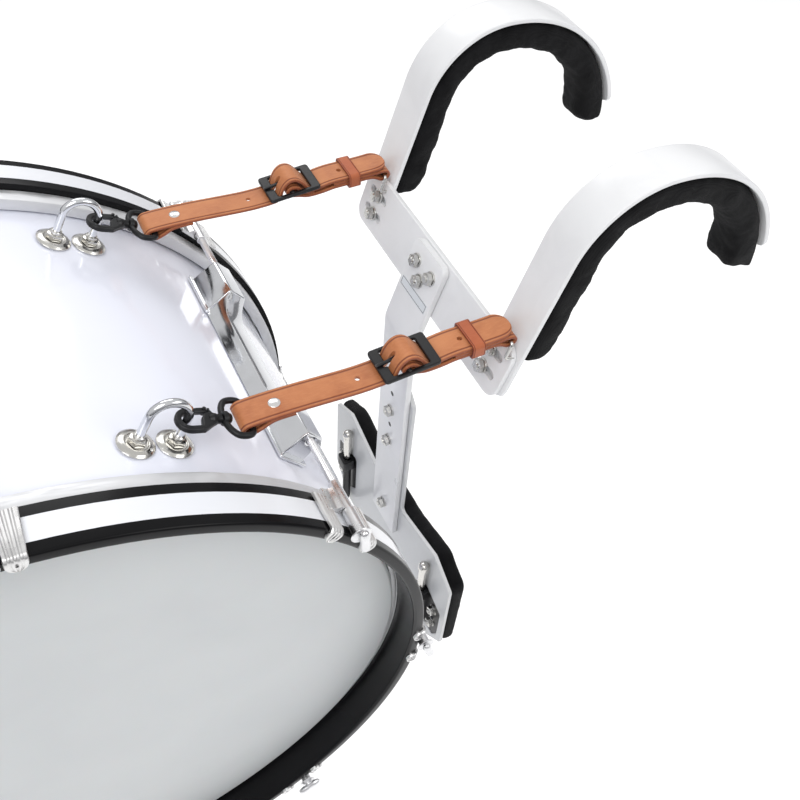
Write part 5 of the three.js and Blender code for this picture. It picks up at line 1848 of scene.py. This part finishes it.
def arm_piece(name, side):
    line = arm_line(arm_foot)
    path = [(p[0] - n[0] * arm_thickness / 2, 0, p[1] - n[1] * arm_thickness / 2) for p, n in line]
    total = np.cumsum([0, *[math.dist(a, b) for a, b in zip(path, path[1:])]])
    half = arm_width / 2
    widths = []
    for place in total:
        from_tip = min(total[-1] - place, place)
        short = max(0.0, arm_tip_round - from_tip)
        corner = arm_tip_round - math.sqrt(max(0, arm_tip_round**2 - short**2))
        widths.append(1 - corner / half)
    strip = sweep(path, flat_section(half, arm_thickness, arm_edge), (0, 1, 0), False, widths)
    strip = moved(strip, lean @ shift(y=side * arm_centre))
    bolts = []
    for row in (-slot_row, slot_row):
        place = facing_front(crossbar_front - contact_gap, side * arm_bolt_side, crossbar_centre + row)
        bolts.append(moved(bolt(), lean @ place))
    parts = [(strip, carrier_paint), (merged(*bolts), plated_steel)]
    build(f"shoulder_arm_{name}", parts, f"shoulder_{name}", [f"arm_{name}"])


# Pads: a slightly smaller form, blown up as cloth, then puckered


pad_end_steepness = 7
pad_end_share = 0.15
pad_bulb_share = 0.2
pad_side_share = 0.6
pad_side_power = 0.5
pad_top_power = 0.6


def pad_loft(side, smaller):
    line = arm_line(pad_foot + smaller, pad_overhang - smaller, 16)
    points = np.array([p for p, _ in line])
    lengths = np.cumsum([0, *np.linalg.norm(np.diff(points, axis=0), axis=1)])
    rows = []
    for share in np.linspace(0, 1, pad_rows):
        at = share * lengths[-1]
        x, z = (np.interp(at, lengths, points[:, k]) for k in (0, 1))
        normal = np.array([np.interp(at, lengths, [n[k] for _, n in line]) for k in (0, 1)])
        normal /= np.linalg.norm(normal)
        end = min(1.0, math.sin(math.pi * share) * pad_end_steepness)
        fill = math.sqrt(max(0, 1 - (1 - end) ** 2)) * (1 - pad_end_share) + pad_end_share
        bulb = pad_bulb * max(0, (share - 1 + pad_bulb_share) / pad_bulb_share) ** 2
        heel = pad_heel * max(0, 1 - share / pad_heel_share)
        thick = (pad_thickness + bulb + heel - smaller) * fill
        half = (pad_width / 2 - smaller * pad_side_share) * (1 - pad_end_share + pad_end_share * fill)
        row = []
        for k in range(pad_columns):
            t = (k + 0.5) / pad_columns * 2 * math.pi
            across = math.copysign(abs(math.cos(t)) ** pad_side_power, math.cos(t)) * half
            deep = (1 + math.copysign(abs(math.sin(t)) ** pad_top_power, math.sin(t))) / 2
            depth = arm_thickness + contact_gap + deep * thick
            row.append((x - normal[0] * depth, side * arm_centre + across, z - normal[1] * depth))
        rows.append(row)
    return moved(loft(rows), lean)


def remesh(piece, voxel):
    """Rebuilds a form's skin from voxels of one size."""
    step = piece.modifiers.new("remesh", "REMESH")
    step.mode = "VOXEL"
    step.voxel_size = voxel * millimetre
    apply_modifiers(piece)


def inflate(piece, held, cap):
    """Blows a closed form up as cloth. Points for which held is true stay, and others move by at most cap."""
    rest = np.array([v.co for v in piece.data.vertices])
    fixed = [i for i, place in enumerate(rest) if held(place)]
    group = piece.vertex_groups.new(name="held")
    group.add(fixed, 1.0, "REPLACE")
    cloth = piece.modifiers.new("cloth", "CLOTH")
    settings = cloth.settings
    settings.use_pressure = True
    settings.uniform_pressure_force = cloth_pressure
    settings.effector_weights.gravity = 0
    settings.vertex_group_mass = "held"
    settings.quality = cloth_quality
    cloth.point_cache.frame_start = 1
    cloth.point_cache.frame_end = cloth_frames
    for number in range(1, cloth_frames + 1):
        bpy.context.scene.frame_set(number)
    blown = evaluated_mesh(piece)
    moves = np.array([v.co for v in blown.vertices]) - rest
    lengths = np.linalg.norm(moves, axis=1)
    limit = cap * millimetre
    factors = np.where(lengths > limit, limit / np.maximum(lengths, 1e-9), 1)
    piece.modifiers.clear()
    piece.vertex_groups.clear()
    for vertex, place in zip(piece.data.vertices, rest + moves * factors[:, None]):
        vertex.co = place
    bpy.data.meshes.remove(blown)
    bpy.context.scene.frame_set(1)


def subdivide(piece):
    """Doubles the skin's points along each edge, smoothed."""
    step = piece.modifiers.new("smooth", "SUBSURF")
    step.levels = 1
    step.render_levels = 1
    apply_modifiers(piece)


fine_wave_share = 0.45
fine_wave_scale = 2.7


def pucker(piece, depth, size, weight):
    """Moves the skin along its normals by two scales of noise, where weight allows."""
    shape = piece.data
    normals = [v.normal.copy() for v in shape.vertices]
    for vertex, normal in zip(shape.vertices, normals):
        place = vertex.co / (size * millimetre)
        wave = noise.noise(place) + fine_wave_share * noise.noise(place * fine_wave_scale)
        vertex.co += normal * wave * depth * millimetre * weight(vertex.co)


def arm_pad_piece(name, side):
    parts = [(pad_loft(side, pad_squeeze), pad_cloth)]
    piece = build(f"foam_pad_{name}", parts, f"shoulder_{name}", [f"arm_pad_{name}"])
    line = arm_line(pad_foot, pad_overhang)
    seats = [lean @ Vector((p[0] - n[0] * arm_thickness, 0, p[1] - n[1] * arm_thickness)) for p, n in line]
    seats = np.array([row_place(p) for p in seats])
    outward = np.array([lean.to_3x3() @ Vector((n[0], 0, n[1])) for _, n in line])

    def depth_under(place):
        flat = np.array([place[0], 0, place[2]])
        nearest = np.argmin(((seats - flat) ** 2 * [1, 0, 1]).sum(1))
        return -(flat - seats[nearest]) @ (outward[nearest] * [1, 0, 1]) / millimetre

    def free_share(place):
        return min(1, max(0, depth_under(place) - pucker_start) / pucker_rise)

    remesh(piece, pad_voxel)
    inflate(piece, lambda place: depth_under(place) < pad_held, pad_growth)
    subdivide(piece)
    pucker(piece, pucker_depth, pucker_size, free_share)
    piece.data.polygons.foreach_set("use_smooth", [True] * len(piece.data.polygons))


def wing_points(margin):
    """Half of the belly plate's wings, grown by a margin."""
    return [
        (wing_foot_reach + margin, wing_foot - margin),
        (wing_reach + margin, wing_low),
        (wing_reach + margin, wing_shoulder),
        (wing_top_reach + margin / 2, wing_top + margin),
    ]


def mirrored(points):
    return [*points, *[(-y, z) for y, z in reversed(points)]]


def belly_plate_piece():
    outline = mirrored(
        [
            *wing_points(0),
            (stem_foot_half, wing_notch),
            (stem_half, stem_top - stem_chamfer),
            (stem_half - stem_chamfer, stem_top),
        ]
    )
    windows, clamps, bolts = [], [], []
    corners = [
        (window_inner, window_bottom + window_slope),
        (window_inner + window_slope, window_bottom),
        (window_outer - window_slope / 2, window_bottom),
        (window_outer, window_bottom + window_slope),
        (window_outer, window_top - window_slope),
        (window_inner, window_top),
    ]
    for side in sides.values():
        window = smooth_profile([(side * y, z) for y, z in corners], window_round)
        windows.append(window)
        backing = plate(window, [], plate_thickness - backing_setback * 2, backing_edge)
        clamps.append(moved(backing, shift(x=plate_front) @ upright @ shift(z=backing_setback)))
        outer = j_rod_radius + running_gap + j_clamp_wall
        block_start = rod_line_x - outer
        block_middle = (side * j_rod_side, (block_start + plate_front + weld) / 2)
        block = rounded_box(outer, (plate_front - block_start) / 2, j_clamp_round, block_middle)
        bore = circle(j_rod_radius + j_clamp_gap, boss_steps, (side * j_rod_side, rod_line_x))
        body = plate(block, [bore], j_clamp_length, j_clamp_edge)
        clamps.append(moved(body, axes((0, 1, 0), (1, 0, 0), (0, 0, -1)) @ shift(z=-j_clamp_top)))
        for z in (clamp_bolt_high, clamp_bolt_low):
            bolts.append(moved(bolt(), facing_front(plate_front + weld, side * clamp_bolt_side, z)))
    body = plate(smooth_profile(outline, plate_corner), windows, plate_thickness, carrier_edge)
    parts = [
        (moved(body, shift(x=plate_front) @ upright), plate_paint),
        (merged(*clamps), black_metal),
        (merged(*bolts), plated_steel),
    ]
    build("winged_belly_plate", parts, "frame", ["belly_plate"])


def belly_pad_piece():
    outline = mirrored([*wing_points(belly_pad_overhang), (stem_half, wing_notch + belly_pad_margin)])
    form = smooth_profile(outline, belly_pad_corner)
    body = plate(form, [], belly_pad_thickness - belly_pad_squeeze, belly_pad_edge)
    body = moved(body, shift(x=plate_back + contact_gap) @ upright)
    piece = build("belly_cushion", [(body, pad_cloth)], "frame", ["belly_pad"])
    front = row_place((plate_back + contact_gap, 0, 0))[0]

    def free_share(place):
        depth = (place.x - front) / millimetre
        return min(1, max(0, depth - belly_pucker_start) / belly_pucker_rise)

    remesh(piece, belly_voxel)
    inflate(piece, lambda place: place[0] < front + belly_pad_held * millimetre, pad_growth)
    subdivide(piece)
    pucker(piece, belly_pucker_depth, belly_pucker_size, free_share)
    piece.data.polygons.foreach_set("use_smooth", [True] * len(piece.data.polygons))


def j_rod_piece(name, side):
    """A J rod: a plated shank with a domed cap, and a black coated hook."""
    bend_x = rod_line_x - j_rod_bend
    shank = [(rod_line_x, 0, z) for z in np.linspace(j_rod_top - j_cap_height, j_coat_top - weld, 10)]
    path = [(rod_line_x, z) for z in np.linspace(j_coat_top, j_rod_bottom, 10)]
    for t in np.linspace(0, math.pi, 25)[1:]:
        path.append((bend_x + j_rod_bend * math.cos(t), j_rod_bottom - j_rod_bend * math.sin(t)))
    path += [(bend_x - j_rod_bend, j_rod_bottom + j_rod_tail * s) for s in (0.5, 1)]
    coat = wire([(x, 0, z) for x, z in path], j_rod_radius)
    cap = [(0, 0), (j_rod_radius - j_cap_inset, 0), (j_rod_radius - j_cap_neck, j_cap_foot)]
    cap += [(j_cap_radius, j_cap_foot + j_cap_neck), (j_cap_radius, j_cap_wall)]
    for t in np.linspace(0, math.pi / 2, 8)[1:]:
        cap.append((j_cap_radius * math.cos(t), j_cap_wall + (j_cap_height - j_cap_wall) * math.sin(t)))
    cap_place = shift(x=rod_line_x, z=j_rod_top - j_cap_height)
    metal = merged(wire(shank, j_rod_radius - contact_gap), moved(lathe_up(cap), cap_place))
    place = shift(y=side * j_rod_side)
    parts = [(moved(metal, place), nickel), (moved(coat, place), black_metal)]
    build(f"j_hook_{name}", parts, f"carry_{name}", [f"j_rod_{name}"])


# Distance from the label's rim and corner radius, for the film and the border's two outlines
label_insets = [(0, 0.8), (0.8, 0.6), (1.2, 0.4)]


def label_piece():
    """The blank label on the spine, with a thin dark border."""
    half_x, half_y = label_width / 2, label_height / 2
    outlines = [rounded_box(half_x - inset, half_y - inset, corner) for inset, corner in label_insets]
    whole, outer, inner = outlines
    film = plate(whole, [], label_thickness, label_edge)
    border = plate(outer, [inner], label_border_thickness, label_border_edge)
    place = lean @ shift(-label_gap, 0, label_centre) @ axes((0, 1, 0), (0, 0, 1), (-1, 0, 0))
    raised = place @ shift(z=label_border_rise)
    parts = [(moved(film, place), label_film), (moved(border, raised), black_metal)]
    build("blank_label", parts, "frame", ())


# Light, floor and camera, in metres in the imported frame

floor_half = 6.0
floor_level = -1.45
camera_lens = 42.1
camera_place = (-0.4159, -0.4775, 0.4019)
camera_right = Vector((0.8914, -0.4494, 0.0592))
camera_up = Vector((0.3155, 0.7090, 0.6307))
camera_back = Vector((-0.3254, -0.5435, 0.7737))
studio_strength = 0.75
light_target = (-0.35, 0, -0.25)


def aim(thing, target):
    """Points a light's -Z at a target."""
    direction = Vector(target) - thing.location
    thing.rotation_euler = direction.to_track_quat("-Z", "Y").to_euler()


def area_light(name, place, target, size, power, colour=(1, 1, 1)):
    light = bpy.data.lights.new(name, "AREA")
    light.shape = "RECTANGLE"
    light.size, light.size_y = size
    light.energy = power
    light.color = colour
    holder = new_object(name, light)
    holder.location = place
    aim(holder, target)


def world_light(strength):
    """A pale studio all round, darker towards the floor so that polished metal has something to show."""
    world = bpy.data.worlds.new("studio")
    bpy.context.scene.world = world
    world.use_nodes = True
    tree = world.node_tree
    background = tree.nodes["Background"]
    source = add_node(tree, "ShaderNodeTexCoord")
    split = add_node(tree, "ShaderNodeSeparateXYZ")
    tree.links.new(source.outputs["Generated"], split.inputs["Vector"])
    height = value_range(tree, split.outputs["Z"], 0, 1, -1, 1)
    stops = [(0.0, (0.75, 0.75, 0.76)), (0.46, (0.3, 0.3, 0.31)), (0.55, (0.36, 0.36, 0.38))]
    stops += [(0.68, (0.95, 0.95, 0.96)), (1.0, (1, 1, 1))]
    tree.links.new(colour_ramp(tree, height, stops), background.inputs["Color"])
    background.inputs["Strength"].default_value = strength


def floor_piece():
    """A plain pale floor, as far below the shoulders as the wearer's feet."""
    corners = [(-1, -1), (1, -1), (1, 1), (-1, 1)]
    shape = bpy.data.meshes.new("floor")
    shape.from_pydata([(floor_half * x, floor_half * y, floor_level) for x, y in corners], [], [(0, 1, 2, 3)])
    floor = new_object("floor", shape)
    material, tree, shader = new_material("floor", (0.93, 0.93, 0.93), 0.8)
    shader.inputs["Emission Color"].default_value = (1, 1, 1, 1)
    shader.inputs["Emission Strength"].default_value = 0.25
    place = place_coordinates(tree)
    grain = noise_field(tree, place, 3, 2)
    stops = [(0.2, (0.92, 0.92, 0.92)), (0.8, (0.94, 0.94, 0.94))]
    tree.links.new(colour_ramp(tree, grain, stops), shader.inputs["Base Color"])
    shape.materials.append(material)


def camera():
    """The photograph's view: close to the drum, above it and towards its near head."""
    data = bpy.data.cameras.new("camera")
    data.sensor_width = 36
    data.sensor_fit = "HORIZONTAL"
    data.lens = camera_lens
    data.clip_start = 0.01
    data.clip_end = 60
    holder = new_object("camera", data)
    holder.matrix_world = shift(*camera_place) @ axes(camera_right, camera_up, camera_back)
    bpy.context.scene.camera = holder


shell_piece()
vent_piece()
for side_name, side in sides.items():
    head_piece(side_name, side)
    flesh_hoop_piece(side_name, side)
    hoop_pieces(side_name, side)
lug_pieces()
rod_pieces()
handle_pieces()
hook_pieces()
strap_pieces()
keeper_pieces()
buckle_pieces()
spine_piece()
crossbar_piece()
label_piece()
for side_name, side in sides.items():
    arm_piece(side_name, side)
    arm_pad_piece(side_name, side)
    j_rod_piece(side_name, side)
belly_plate_piece()
belly_pad_piece()

floor_piece()
world_light(studio_strength)
area_light("key", (-1.3, -1.2, 2.2), light_target, (1.6, 1.6), 34)
area_light("fill", (1.6, -1.5, 1.3), light_target, (1.6, 1.2), 14)
area_light("back", (0.2, 2.1, 1.7), light_target, (2.0, 1.2), 20)
camera()

scene = bpy.context.scene
scene.view_settings.view_transform = "Standard"
